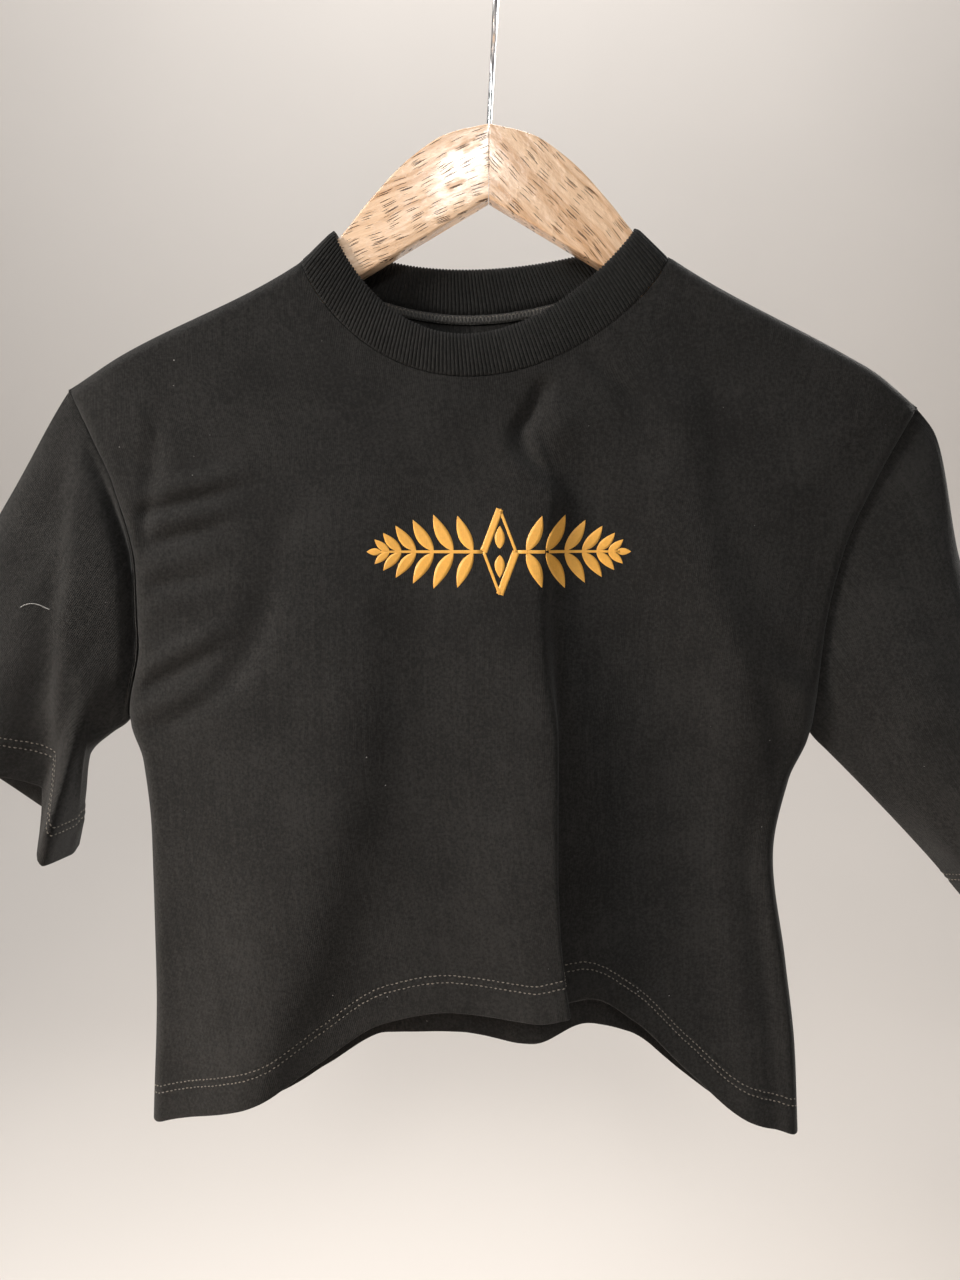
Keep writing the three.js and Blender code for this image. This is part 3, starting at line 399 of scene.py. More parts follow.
def link_mesh(name, points, faces, uv=None):
    """A new object with this mesh, whose points are in millimetres and uv in metres per corner."""
    mesh = bpy.data.meshes.new(name)
    mesh.vertices.add(len(points))
    mesh.vertices.foreach_set("co", (np.asarray(points, np.float32) * MM).ravel())
    sizes = np.array([len(face) for face in faces])
    mesh.loops.add(int(sizes.sum()))
    mesh.loops.foreach_set("vertex_index", np.concatenate(faces).astype(np.int32))
    mesh.polygons.add(len(faces))
    starts = np.concatenate(([0], np.cumsum(sizes)[:-1]))
    mesh.polygons.foreach_set("loop_start", starts.astype(np.int32))
    mesh.polygons.foreach_set("use_smooth", np.ones(len(faces), bool))
    mesh.update(calc_edges=True)
    if uv is not None:
        mesh.uv_layers.new(name="cut").data.foreach_set("uv", np.asarray(uv, np.float32).ravel())
    mesh.validate()
    piece = bpy.data.objects.new(name, mesh)
    bpy.context.scene.collection.objects.link(piece)
    return piece


def inside_out(points, faces):
    """Whether the faces of a closed mesh look inward."""
    a, b, d = points[faces[:, 0]], points[faces[:, 1]], points[faces[:, 2]]
    return np.einsum("ij,ij->i", a, np.cross(b, d)).sum() < 0


def ring_faces(r, c, below, columns):
    """Faces between rows r and the rows below them, where the last column joins the first."""
    beside = (c + 1) % columns
    corners = (r * columns + c, r * columns + beside, below * columns + beside, below * columns + c)
    return np.stack(np.broadcast_arrays(*corners), axis=-1).reshape(-1, 4)


def shell(name, outer, inner, uv, closed=False):
    """A thin closed shell between two grids. uv is in metres, with one more column on a closed grid."""
    rows, columns = outer.shape[:2]
    spans = columns if closed else columns - 1
    layer = rows * columns
    stride = uv.shape[1]
    faces, corners = [], []

    def add(*places):
        """Faces between four places, each a layer, a row and a column."""
        rows_, columns_, layers_ = [], [], []
        for which, r, c in places:
            r, c = np.broadcast_arrays(r, c)
            rows_.append(r.ravel())
            columns_.append(c.ravel())
            layers_.append(np.full(r.size, which))
        r, c, w = (np.stack(part, axis=1) for part in (rows_, columns_, layers_))
        faces.append(w * layer + r * columns + c % columns)
        corners.append(r * stride + c)

    r, c = np.arange(rows - 1)[:, None], np.arange(spans)[None, :]
    add((0, r, c), (0, r, c + 1), (0, r + 1, c + 1), (0, r + 1, c))
    add((1, r + 1, c), (1, r + 1, c + 1), (1, r, c + 1), (1, r, c))
    c = np.arange(spans)
    add((0, 0, c + 1), (0, 0, c), (1, 0, c), (1, 0, c + 1))
    last = rows - 1
    add((0, last, c), (0, last, c + 1), (1, last, c + 1), (1, last, c))
    if not closed:
        r = np.arange(rows - 1)
        add((0, r, 0), (0, r + 1, 0), (1, r + 1, 0), (1, r, 0))
        add((0, r + 1, spans), (0, r, spans), (1, r, spans), (1, r + 1, spans))
    faces, corners = np.concatenate(faces), np.concatenate(corners)
    points = np.concatenate((outer.reshape(-1, 3), inner.reshape(-1, 3)))
    if inside_out(points, faces):
        faces, corners = faces[:, ::-1], corners[:, ::-1]
    return link_mesh(name, points, faces, uv.reshape(-1, 2)[corners.ravel()])


HEM_FOLD_RADIUS = 1.25  # of the turn that the cloth's outside makes around a hem's edge


def hem_rows():
    """The rows of a turned hem: how far above its edge each lies, and how far in from the outside."""
    face = [(h, 0.0) for h in np.arange(HEM_ZONE - 1, 0.4, -1.0)]
    turn = np.radians((0, 25, 55, 90, 125, 155))
    fold = [(-HEM_FOLD_RADIUS * math.sin(a), HEM_FOLD_RADIUS * (1 - math.cos(a))) for a in turn]
    back_up = (0, 0.8, 2.5, 6, 10, 14, 16, 18, 20, HEM_TURN - 0.6, HEM_TURN)
    inside = [(h, 2 * HEM_FOLD_RADIUS) for h in back_up]
    return face + fold + inside


HEM_ROWS = hem_rows()
NEEDLE_ROWS = (16.0, 20.0)  # how far above the hem's edge the two rows of stitches lie
HEM_STANDS = 0.35  # how far the double cloth of a hem stands out
GROOVE_DEEP, GROOVE_WIDE = 0.45, 0.9  # the depth and the half width of the groove along each row


def hem_relief(above):
    """How far out the face of a hem stands: it is double, and pressed in along its stitches."""
    double = HEM_STANDS * (1 - smooth((above - HEM_TURN + 1) / 3))
    grooves = sum(np.exp(-(((above - row) / GROOVE_WIDE) ** 2)) for row in NEEDLE_ROWS)
    return double - GROOVE_DEEP * grooves


def hem_grid(place, lengths, body_shares):
    """The points of a cloth with a turned hem, the inset of each row and the shares of its length where the
    points lie. place gives the points for a row's shares, and lengths are the lengths of its columns."""
    whole = 1 - HEM_ZONE / lengths
    shares = [whole * share for share in body_shares]
    rows = [place(share) for share in shares]
    insets = [0.0] * len(rows)
    low = place(np.ones_like(lengths))
    down = unit(low - place(1 - 1 / lengths))
    for above, inset in HEM_ROWS:
        share = 1 - max(above, 0) / lengths
        rows.append(place(share) + down * max(-above, 0))
        shares.append(share)
        insets.append(inset)
    return np.stack(rows), np.array(insets), np.stack(shares)


def curled(grid, normals, steps, axis, at_end):
    """A grid with extra rows (axis 0) or columns (axis 1) that turn its edge straight in."""
    take = -1 if at_end else 0
    edge = np.take(grid, take, axis=axis)
    normal = np.take(normals, take, axis=axis)
    extra = [edge - normal * step for step in steps]
    if not at_end:
        extra.reverse()
    extra = np.stack(extra, axis=axis)
    return np.concatenate((grid, extra) if at_end else (extra, grid), axis=axis)


def knit_uv(grid, centre, down, closed=False):
    """uv in metres for a cloth whose upright lines of stitches run along down, an x and a z. Across, it is
    the way over the folds from the centre column."""
    line = np.concatenate((grid, grid[:, :1]), axis=1) if closed else grid
    down = np.array(down) / math.hypot(*down)
    beside = line[..., 0] * -down[1] + line[..., 2] * down[0]
    across = np.hypot(np.diff(beside, axis=1), np.diff(line[..., 1], axis=1))
    u = np.concatenate((np.zeros((len(grid), 1)), np.cumsum(across, axis=1)), axis=1)
    u -= u[:, centre : centre + 1]
    v = -(line[..., 0] * down[0] + line[..., 2] * down[1])
    return np.stack((u, v), axis=2) * MM


# ---------------------------------------------------------------- front and back
NECK_FROM, NECK_TO = 0.27, 0.73  # the columns that start on the neck seam
NECK_SPREAD = 0.1  # how far down those columns are evenly spread
FOLD_COLUMN = 0.56  # the column that runs along the main fold's edge
FOLD_REACH = 0.13  # how far to either side it draws its neighbours along
FOLD_JOIN = 0.15  # how far down it has joined the fold
# the shares of the way across and down where a panel's columns and rows lie
BODY_COLUMNS = between(
    (0, 0.004, 0.014, 0.035, 0.08, 0.13, 0.18, 0.23, NECK_FROM, 0.305, 0.34, 0.375, 0.41, 0.445, 0.48,
     0.508, 0.53, 0.547, FOLD_COLUMN, 0.573, 0.588, 0.607, 0.63, 0.66, 0.695, NECK_TO, 0.765, 0.81, 0.86,
     0.91, 0.955, 0.985, 0.996, 1),
    6,
)
BODY_ROWS = between(
    (0, 0.004, 0.011, 0.024, 0.055, 0.1, 0.15, 0.2, 0.255, 0.31, 0.37, 0.43, 0.49, 0.55, 0.61, 0.67, 0.73,
     0.79, 0.85, 0.92, 1),
    8,
)[:-1]
FOLD_LAP, LAP_REACH = 4.4, 3.2  # how far the main fold laps, and how near to its edge
LAP_FROM, LAP_GROWS = -335.0, 60.0  # the height below which it does, and over what way down
# how far in each row of an edge lies that is turned straight in
SIDE_CURL = (0.15, 0.6, 1.6, 3.6)
TOP_CURL = (0.15, 0.6, 1.4, 2.2)
SEAM_PULL, SEAM_PULL_REACH = 0.7, 2.6  # how far in the armhole seam pulls the cloth, and how near to it
DRIFT_FROM, DRIFT_GROWS = -170.0, 60.0  # the height below which a panel is slowly uneven


@lru_cache
def neck_turns(side):
    """The shares of the way along one half of the neck seam, from left to right, and their turns."""
    turn = np.linspace(0.5, 1, 1001) if side == "front" else np.linspace(0.4999999, 0, 1001)
    x, z = neck_point(NECK_SEAM, turn, NECK_GAP)
    way = np.concatenate(([0], np.cumsum(np.hypot(np.diff(x), np.diff(z)))))
    return way / way[-1], turn


def panel_top(side, u):
    """x, z along the top edge of a panel: a shoulder, the neck seam, the other shoulder. The third value
    is x if the neck's columns were evenly spaced."""
    left_neck, _ = neck_point(NECK_SEAM, np.array(0.5), NECK_GAP)
    right_neck, _ = neck_point(NECK_SEAM, np.array(0.0), NECK_GAP)
    left = lerp(LEFT_EDGE[0][1], left_neck, u / NECK_FROM)
    right = lerp(right_neck, RIGHT_EDGE[0][1], (u - NECK_TO) / (1 - NECK_TO))
    part = np.clip((u - NECK_FROM) / (NECK_TO - NECK_FROM), 0, 1)
    neck_x, neck_z = neck_point(NECK_SEAM, np.interp(part, *neck_turns(side)), NECK_GAP)
    x = np.where(u < NECK_FROM, left, np.where(u > NECK_TO, right, neck_x))
    z = np.where((u < NECK_FROM) | (u > NECK_TO), shoulder_z(x), neck_z)
    even = np.where((u < NECK_FROM) | (u > NECK_TO), x, lerp(left_neck, right_neck, part))
    return x, z, even


def panel_place(side, u, v):
    """x, z in a panel, from the share of the way across and down, blended from its four edges."""
    low_z = [row[1 if side == "front" else 2] for row in HEM]
    x_of = {"top": (LEFT_EDGE[0][1], RIGHT_EDGE[0][1]), "low": (HEM[0][0], HEM[-1][0])}
    z_of = {"top": (LEFT_EDGE[0][0], RIGHT_EDGE[0][0]), "low": (low_z[0], low_z[-1])}
    follow = np.exp(-(((u - FOLD_COLUMN) / FOLD_REACH) ** 2)) * (side == "front")
    spread_out = np.exp(-v / NECK_SPREAD)
    top_x, top_z, even_x = panel_top(side, u)
    top_x = lerp(even_x, top_x, spread_out)
    fold_top, _, fold_even = panel_top(side, np.array(FOLD_COLUMN))
    fold_low = fold_x(z_of["low"][0])
    low_x = lerp(*x_of["low"], u) + follow * (fold_low - lerp(*x_of["low"], FOLD_COLUMN))
    left_z = lerp(z_of["top"][0], z_of["low"][0], v)
    right_z = lerp(z_of["top"][1], z_of["low"][1], v)

    def blend(top, low, left, right, ends):
        corners = lerp(lerp(*ends["top"], u), lerp(*ends["low"], u), v)
        return lerp(top, low, v) + lerp(left, right, u) - corners

    x = blend(top_x, low_x, left_x(left_z), right_x(right_z), x_of)
    z = blend(top_z, hem_z[side](low_x), left_z, right_z, z_of)
    straight = lerp(lerp(fold_even, fold_top, spread_out), fold_low, v)
    return x + follow * smooth(v / FOLD_JOIN) * (fold_x(z) - straight), z


def tucked(x, z):
    """Where the front's places lie from side to side, with the main fold's edge lapped over its flank."""
    away = (x - fold_x(z)) / LAP_REACH
    return x - FOLD_LAP * away * np.exp(-(away**2)) * smooth((LAP_FROM - z) / LAP_GROWS)


def panel_point(side, u, v, lengths):
    """Points of a panel's outside, with the small relief that sewing gives it."""
    x, z = panel_place(side, u, v)
    depth = panel_depth(side, x, z)
    above = (1 - v) * lengths
    away = np.minimum(x - left_x(z), right_x(z) - x)
    to_armhole = np.where(z > ARMPIT_LEFT, away, FAR)
    relief = hem_relief(above) * smooth(away / 6)
    hem_pucker = pucker(x, above, height=0.3, pitch=17, shift=1.3, middle=12, reach=14)
    relief += hem_pucker * smooth(away / 20)
    relief -= SEAM_PULL * np.exp(-to_armhole / SEAM_PULL_REACH)
    relief += pucker(z, to_armhole, height=0.35, pitch=13, shift=0.6, middle=6, reach=6)
    relief += slow_drift(x, z) * smooth(away / 30) * smooth((DRIFT_FROM - z) / DRIFT_GROWS)
    depth = depth + relief * smooth((shoulder_z(x) - z) / 6)
    if side == "front":
        return np.stack((tucked(x, z), -np.maximum(depth, MID_GAP), z), axis=-1)
    return np.stack((x, np.maximum(depth, MID_GAP), z), axis=-1)


def panel_lengths(side, u):
    """The straight lengths of a panel's columns."""
    top_x, top_z = panel_place(side, u, np.zeros_like(u))
    low_x, low_z = panel_place(side, u, np.ones_like(u))
    return np.hypot(top_x - low_x, top_z - low_z)


def face_normals(normals, hem_start):
    """The normals of a grid with a turned hem, with those of the face before it on the rows that are
    turned under it, where the grid runs back up."""
    normals = normals.copy()
    face = [above if inset == 0 else None for above, inset in HEM_ROWS]
    for r, (above, _) in enumerate(HEM_ROWS):
        near = [FAR if row is None else abs(row - max(above, 0.5)) for row in face]
        normals[hem_start + r] = normals[hem_start + int(np.argmin(near))]
    return normals


@lru_cache
def panel_face(side):
    """A panel's outside, its normals and its insets."""
    sign = -1 if side == "front" else 1
    u = BODY_COLUMNS
    lengths = panel_lengths(side, u)
    face, insets, _ = hem_grid(lambda v: panel_point(side, u, v, lengths), lengths, BODY_ROWS)
    normals = face_normals(grid_normals(face, False, sign), len(BODY_ROWS))
    return face, normals, insets


def panel_piece(side):
    """A panel as a thin shell, with its edges turned in and its hem turned up."""
    sign = -1 if side == "front" else 1
    face, normals, insets = panel_face(side)

    def on_its_side(grid):
        grid = grid.copy()
        grid[..., 1] = sign * np.maximum(sign * grid[..., 1], MID_GAP)
        return grid

    flat = on_its_side(face - normals * insets[:, None, None])
    top = normals[:1] * (1, 1, 0) + np.maximum(normals[:1] * (0, 0, 1), 0)
    flat = on_its_side(curled(flat, unit(top), TOP_CURL, 0, False))
    out = np.concatenate((np.repeat(normals[:1], len(TOP_CURL), axis=0), normals))
    for at_end, way in ((False, -1), (True, 1)):
        edge = out[:, -1 if at_end else 0][:, None]
        edge = edge * (0, 1, 1) + way * np.maximum(way * edge * (1, 0, 0), 0)
        flat = on_its_side(curled(flat, unit(edge), SIDE_CURL, 1, at_end))
    inner = on_its_side(flat - grid_normals(flat, False, sign) * WALL)
    return shell(f"cloth_{side}", flat, inner, knit_uv(flat, flat.shape[1] // 2, (0, -1)))


# ---------------------------------------------------------------- sleeves
SLEEVE_HALF = between((0, 0.02, 0.07, 0.16, 0.28, 0.4, 0.52, 0.62, 0.7, 0.78, 0.86, 0.93, 0.98, 1), 5)
SLEEVE_ROWS = between((0, 0.03, 0.1, 0.2, 0.3, 0.4, 0.5, 0.6, 0.7, 0.8, 0.9, 1), 9)[:-1]
ARMHOLE_SET_IN = 0.8  # the sleeve's cloth lies this far behind the body's edge
ARM_CURL = (0.15, 0.6, 1.4, 2.6)
SLEEVE_BULGE = 5.0  # how far either half of a sleeve stands out at the middle of its length
PLEAT_TURN = 4.4  # how softly the left sleeve's upright fold turns
PLEAT_MIDDLE = 0.4  # the share of that turn at which the fold leaves the sleeve's face level
# Columns near the underarm that leave the armhole's depth later, beside the upright fold: by what share
# of the way down, from what share of the way round on, and over what share.
UNDERARM_TUCKS = ((0.42, 0.62, 0.12), (0.22, 0.86, 0.08))
SLEEVE_PULL, SLEEVE_PULL_REACH = 0.5, 2.4  # how far in the armhole seam pulls a sleeve, and how near to it


class SleeveForm:
    """One sleeve as a tube from the armhole to the hem, in a front and a back half."""

    def __init__(self, name):
        cut = SLEEVES[name]
        self.cut = cut
        self.edge = left_x if name == "left" else right_x
        self.top = [through(cut["top"], column) for column in (1, 2)]
        self.under = [through(cut["under"], column) for column in (1, 2)]
        self.hem = {
            half: [through(cut["hem_" + half], column) for column in (1, 3, 2)] for half in ("front", "back")
        }
        self.pleat = cut["pleat"] and [through(cut["pleat"], column) for column in (1, 2)]

    def armhole(self, half, q):
        """The points where a half starts on the body, for shares of the way from the top to the armpit."""
        z = lerp(self.cut["high"], self.cut["armpit"], q)
        out = self.cut["out"]
        behind = ARMHOLE_SET_IN + self.cut["set_in"] * smooth(q / 0.25) * smooth((1 - q) / 0.1)
        deep = panel_depth(half, self.edge(z) - out * 0.01, z) - behind
        sign = -1 if half == "front" else 1
        return np.stack((self.edge(z) + out * ARMHOLE_GAP, sign * np.maximum(deep, 0), z), axis=-1)

    def half_points(self, half, p, q):
        """Points p of the way down and q of the way from the top fold to the underarm."""
        sign = -1 if half == "front" else 1
        seam = self.armhole(half, q)
        hem = np.stack([read(q) for read in self.hem[half]], axis=-1)
        shift = self.cut["out"] * ARMHOLE_GAP * (1 - p)
        a = (self.top[0](p) + shift, self.top[1](p))
        b = (self.under[0](p) + shift, self.under[1](p))
        ends = np.array([0.0, 1.0])
        seam_ends = self.armhole(half, ends)
        hem_ends = np.stack([read(ends) for read in self.hem[half]], axis=-1)
        place = []
        for axis, top, under in ((0, a[0], b[0]), (2, a[1], b[1])):
            corners = lerp(lerp(*seam_ends[:, axis], q), lerp(*hem_ends[:, axis], q), p)
            place.append(lerp(seam[..., axis], hem[..., axis], p) + lerp(top, under, q) - corners)
        x, z = place
        late = sum(by * smooth((q - start) / over) for by, start, over in UNDERARM_TUCKS)
        late = late * bool(self.cut["pleat"])
        y = lerp(seam[..., 1], hem[..., 1], smooth((p - late) / (1 - late)))
        rounded = quarter(2 * q) * quarter(2 * (1 - q))
        y = y + sign * SLEEVE_BULGE * np.sin(np.pi * np.clip(p, 0, 1)) * rounded
        waves = waves_at(self.cut["waves"], p, q)
        y = y + sign * waves * rounded * smooth(p / 0.05)
        if self.pleat and half == "front":
            beyond = turned(x - self.pleat[0](z), PLEAT_TURN)
            ends_fade = quarter(3 * q) * quarter(4 * (1 - q)) * (1 - np.clip(p, 0, 1) ** 6)
            y = y - self.pleat[1](z) * (beyond - PLEAT_MIDDLE) * ends_fade
        return np.stack((x, y, z), axis=-1)

    def lengths(self, half, q):
        """The straight lengths of a half's columns."""
        start, end = (self.half_points(half, np.full_like(q, share), q) for share in (0.0, 1.0))
        return np.linalg.norm(end - start, axis=-1)

    def ring(self, p):
        """A row around the whole tube: the front from the top fold to the underarm, then the back."""
        count = len(SLEEVE_HALF)
        front = self.half_points("front", p[:count], SLEEVE_HALF)
        back = self.half_points("back", p[count:], SLEEVE_HALF[1:-1][::-1])
        return np.concatenate((front, back))


def sleeve_relief(grid, normals, shares, lengths):
    """A sleeve's points with the small relief of its hem and its armhole seam."""
    above = (1 - shares) * lengths
    down = shares * lengths
    around = np.cumsum(np.linalg.norm(grid - np.roll(grid, 1, axis=1), axis=2), axis=1)
    hem_pucker = pucker(around, above, height=0.3, pitch=15, shift=0.4, middle=12, reach=12)
    relief = hem_relief(above) + hem_pucker
    relief -= SLEEVE_PULL * np.exp(-down / SLEEVE_PULL_REACH)
    relief += pucker(around, down, height=0.4, pitch=14, shift=2.9, middle=6, reach=6)
    return grid + normals * relief[..., None]


def kept_apart(grid, centre, gap):
    """A tube's points, with neither half past the surface midway between its halves."""
    half = grid.shape[1] // 2
    grid = grid.copy()
    front = np.arange(grid.shape[1]) <= half
    offset = grid[..., 1] - centre
    grid[..., 1] = centre + np.where(front, np.minimum(offset, -gap), np.maximum(offset, gap))
    crease = [0, half]
    grid[:, crease, 1] = centre[:, crease]
    return grid


@lru_cache
def sleeve_face(name):
    """A sleeve's outside, its normals, its insets and which way its normals face."""
    form = SleeveForm(name)
    back = SLEEVE_HALF[1:-1][::-1]
    lengths = np.concatenate((form.lengths("front", SLEEVE_HALF), form.lengths("back", back)))
    grid, insets, shares = hem_grid(form.ring, lengths, SLEEVE_ROWS)
    normals = grid_normals(grid, True, 1)
    # the first column is the top fold, whose normal points out along the arm
    facing = 1 if normals[len(SLEEVE_ROWS) // 2, 0, 0] * SLEEVES[name]["out"] > 0 else -1
    normals = face_normals(normals * facing, len(SLEEVE_ROWS))
    return sleeve_relief(grid, normals, shares, lengths), normals, insets, facing


def sleeve_piece(name):
    """A sleeve as a thin shell, with its head turned in and its hem turned up."""
    grid, normals, insets, facing = sleeve_face(name)
    opposite = -np.arange(grid.shape[1]) % grid.shape[1]
    centre = (grid[..., 1] + grid[:, opposite, 1]) / 2
    flat = kept_apart(grid - normals * insets[:, None, None], centre, 0.0)
    turn_in = normals.copy()
    turn_in[0, 0], turn_in[0, flat.shape[1] // 2] = (0, 0, 1), (0, 0, -1)
    flat = curled(flat, turn_in, ARM_CURL, 0, False)
    centre = np.concatenate((np.repeat(centre[:1], len(ARM_CURL), axis=0), centre))
    inner = kept_apart(flat - grid_normals(flat, True, facing) * WALL, centre, MID_GAP)
    (_, x0, z0), *_, (_, x1, z1) = SLEEVES[name]["top"]
    uv = knit_uv(flat, 0, (x1 - x0, z1 - z0), closed=True)
    return shell(f"cloth_sleeve_{name}", flat, inner, uv, closed=True)


# ---------------------------------------------------------------- neckband
BAND_SECTION = (  # share of the way up the band, how far in from its outside
    (0, 0), (0.06, 0), (0.18, 0), (0.34, 0), (0.5, 0), (0.66, 0), (0.8, 0), (0.9, 0.03), (0.96, 0.25),
    (0.995, 0.7), (1.0, 1.0), (0.995, 1.3), (0.96, 1.75), (0.88, 1.97), (0.7, 2), (0.45, 2), (0.2, 2), (0, 2),
)
BASE_ROWS = 9  # rows of the form that the section is laid on
STEPS_PER_RIB = 8
RIB_PITCH = 2.25
RIB_FULLNESS = 0.6  # below 1, a rib is broader than the valley beside it
BAND_CREST = 0.6  # how far the fold stands above the band's top edge
BAND_PUFF = 0.6  # how far the band's middle stands out
BAND_ENDS = 0.012  # the part of a turn over which the band closes at either shoulder


def ring_turns(count):
    """Turns that are evenly spaced along the middle of the neckband."""
    turn = np.linspace(0, 1, 4001)
    seam, top = np.stack(neck_point(NECK_SEAM, turn)), np.stack(neck_point(BAND_TOP, turn))
    middle = (seam + top) / 2
    way = np.concatenate(([0], np.cumsum(np.hypot(*np.diff(middle, axis=1)))))
    return np.interp(np.arange(count) / count * way[-1], way, turn)


def band_base(turn, share):
    """A point of the band's outside before its ribs."""
    seam_x, seam_z = neck_point(NECK_SEAM, turn)
    top_x, top_z = neck_point(BAND_TOP, turn)
    x, z = lerp(seam_x, top_x, share), lerp(seam_z, top_z, share)
    back = turn < 0.5
    depth = np.where(back, panel_depth("back", x, z), panel_depth("front", x, z))
    closing = smooth(np.minimum(np.abs(turn % 0.5), 0.5 - np.abs(turn % 0.5)) / BAND_ENDS)
    depth = (depth + BAND_PUFF * np.sin(np.pi * share)) * closing
    return np.stack((x, np.where(back, 1, -1) * depth, z), axis=-1)


def band_piece(ribs, height):
    """The neckband as a closed ring of ribbed knit, folded over at its top edge."""
    turn = ring_turns(ribs * STEPS_PER_RIB)
    phase = (np.arange(len(turn)) / STEPS_PER_RIB) % 1
    rib = height * (np.abs(np.sin(np.pi * phase)) ** RIB_FULLNESS - 0.5)
    shares = np.linspace(0, 1, BASE_ROWS)
    base = np.stack([band_base(turn, share) for share in shares])
    normals = grid_normals(base, True, 1)
    front_middle = ribs * STEPS_PER_RIB * 3 // 4
    if normals[BASE_ROWS // 2, front_middle, 1] > 0:
        normals = -normals
    up = unit(base[-1] - base[0])
    rows = []
    for share, inset in BAND_SECTION:
        at = share * (len(shares) - 1)
        low = min(int(at), len(shares) - 2)
        point = lerp(base[low], base[low + 1], at - low)
        normal = unit(lerp(normals[low], normals[low + 1], at - low))
        side = 1 - inset  # 1 on the outside, -1 on the inside, 0 along the fold between them
        relief = rib * smooth(share / 0.1 + 0.25)
        rise = (relief + BAND_CREST) * (1 - abs(side))
        rows.append(point + normal * (relief * side - inset)[:, None] + up * rise[:, None])
    outer = np.stack(rows)
    rows_count, columns = outer.shape[:2]
    r, c = np.arange(rows_count)[:, None], np.arange(columns)[None, :]
    faces = ring_faces(r, c, (r + 1) % rows_count, columns)
    way = np.cumsum(np.linalg.norm(np.diff(outer, axis=0, append=outer[:1]), axis=2), axis=0).mean(axis=1)
    way = np.concatenate(([0], way))
    pitch = 1 / STEPS_PER_RIB
    across = np.broadcast_to(np.stack((c, c + 1, c + 1, c), axis=-1), (rows_count, columns, 4)) * pitch
    down = np.stack((way[r], way[r], way[r + 1], way[r + 1]), axis=-1)
    uv = np.stack(np.broadcast_arrays(across * RIB_PITCH, down), axis=-1).reshape(-1, 2) * MM
    points = outer.reshape(-1, 3)
    if inside_out(points, faces):
        faces = faces[:, ::-1]
        uv = uv.reshape(-1, 4, 2)[:, ::-1].reshape(-1, 2)
    return link_mesh("cloth_neckband", points, faces, uv)


# ---------------------------------------------------------------- sewing
def primitive_arrays(add, shape, **options):
    """The points and faces of one of Blender's primitives, shaped by a function of its points."""
    bpy.ops.object.select_all(action="DESELECT")
    add(**options)
    made = bpy.context.object
    points = np.array([vertex.co for vertex in made.data.vertices])
    faces = [tuple(face.vertices) for face in made.data.polygons]
    mesh = made.data
    bpy.data.objects.remove(made)
    bpy.data.meshes.remove(mesh)
    return shape(points), faces


def repeated(name, base, frames):
    """One mesh of copies of a small form. frames holds, for each copy, its centre and its three axes."""
    points, faces = base
    copies = np.concatenate([centre + points @ np.stack(axes) for centre, axes in frames])
    count = len(points)
    all_faces = [np.array(face) + count * i for i in range(len(frames)) for face in faces]
    return link_mesh(name, copies, all_faces)


def along_line(line, normals, pitch, start=0.0):
    """Places at an even pitch along a line of points: point, direction and normal of each."""
    way = np.concatenate(([0], np.cumsum(np.linalg.norm(np.diff(line, axis=0), axis=1))))
    at = np.arange(start + pitch / 2, way[-1] - pitch / 2, pitch)

    def read(values, where):
        return np.stack([np.interp(where, way, values[:, k]) for k in range(3)], axis=1)

    point = read(line, at)
    ahead, behind = read(line, at + pitch * 0.3), read(line, at - pitch * 0.3)
    return point, unit(ahead - behind), unit(read(normals, at))


def stitch_frames(line, normals, pitch, length, thickness, start=0.0, lift=0.0):
    """Frames for straight stitches in a row: each a little off the line and off its neighbour's length."""
    frames = []
    for i, (point, ahead, normal) in enumerate(zip(*along_line(line, normals, pitch, start))):
        beside = np.cross(normal, ahead)
        own = 1 + 0.08 * math.sin(5.1 * i) + 0.05 * math.sin(1.7 * i)
        point = point + beside * 0.12 * math.sin(2.3 * i) + normal * lift
        axes = (ahead * length * own / 2, beside * thickness / 2, normal * thickness / 2)
        frames.append((point, axes))
    return frames


def bowed(points):
    """A stitch's form: a thread that bows up between two holes, within a unit box."""
    points = points / np.abs(points).max(axis=0)
    points[:, 2] += 0.9 * (1 - points[:, 0] ** 2) - 0.7
    points[:, 1:] *= (1 - 0.25 * points[:, :1] ** 4)
    return points


def stitch_form():
    """The points and faces of one stitch."""
    add = bpy.ops.mesh.primitive_uv_sphere_add
    return primitive_arrays(add, lambda points: bowed(points[:, [2, 0, 1]]), segments=6, ring_count=7)


ROW_SHIFT = 0.4  # the part of a pitch by which the second row of stitches starts later
STITCH_LIFT = 0.12  # from the cloth to a stitch's middle
BARE_ENDS = 4  # columns at either end of an open hem that carry no stitches


def needle_line(face, normals, hem_start, above, closed):
    """A row of a hem's face and its normals, joined up where the hem is closed."""
    row = hem_start + [h for h, _ in HEM_ROWS].index(above)
    line, out = face[row], normals[row]
    if closed:
        return np.concatenate((line, line[:1])), np.concatenate((out, out[:1]))
    return line[BARE_ENDS:-BARE_ENDS], out[BARE_ENDS:-BARE_ENDS]


def hem_stitches(name, face, normals, hem_start, sewing, closed=False):
    """The two rows of stitches that hold a turned hem."""
    frames = []
    for i, above in enumerate(NEEDLE_ROWS):
        line, out = needle_line(face, normals, hem_start, above, closed)
        start = i * ROW_SHIFT * sewing.pitch / MM
        sizes = sewing.pitch / MM, sewing.stitch / MM, sewing.thread / MM
        frames += stitch_frames(line, out, *sizes, start=start, lift=STITCH_LIFT)
    return repeated(name, stitch_form(), frames)


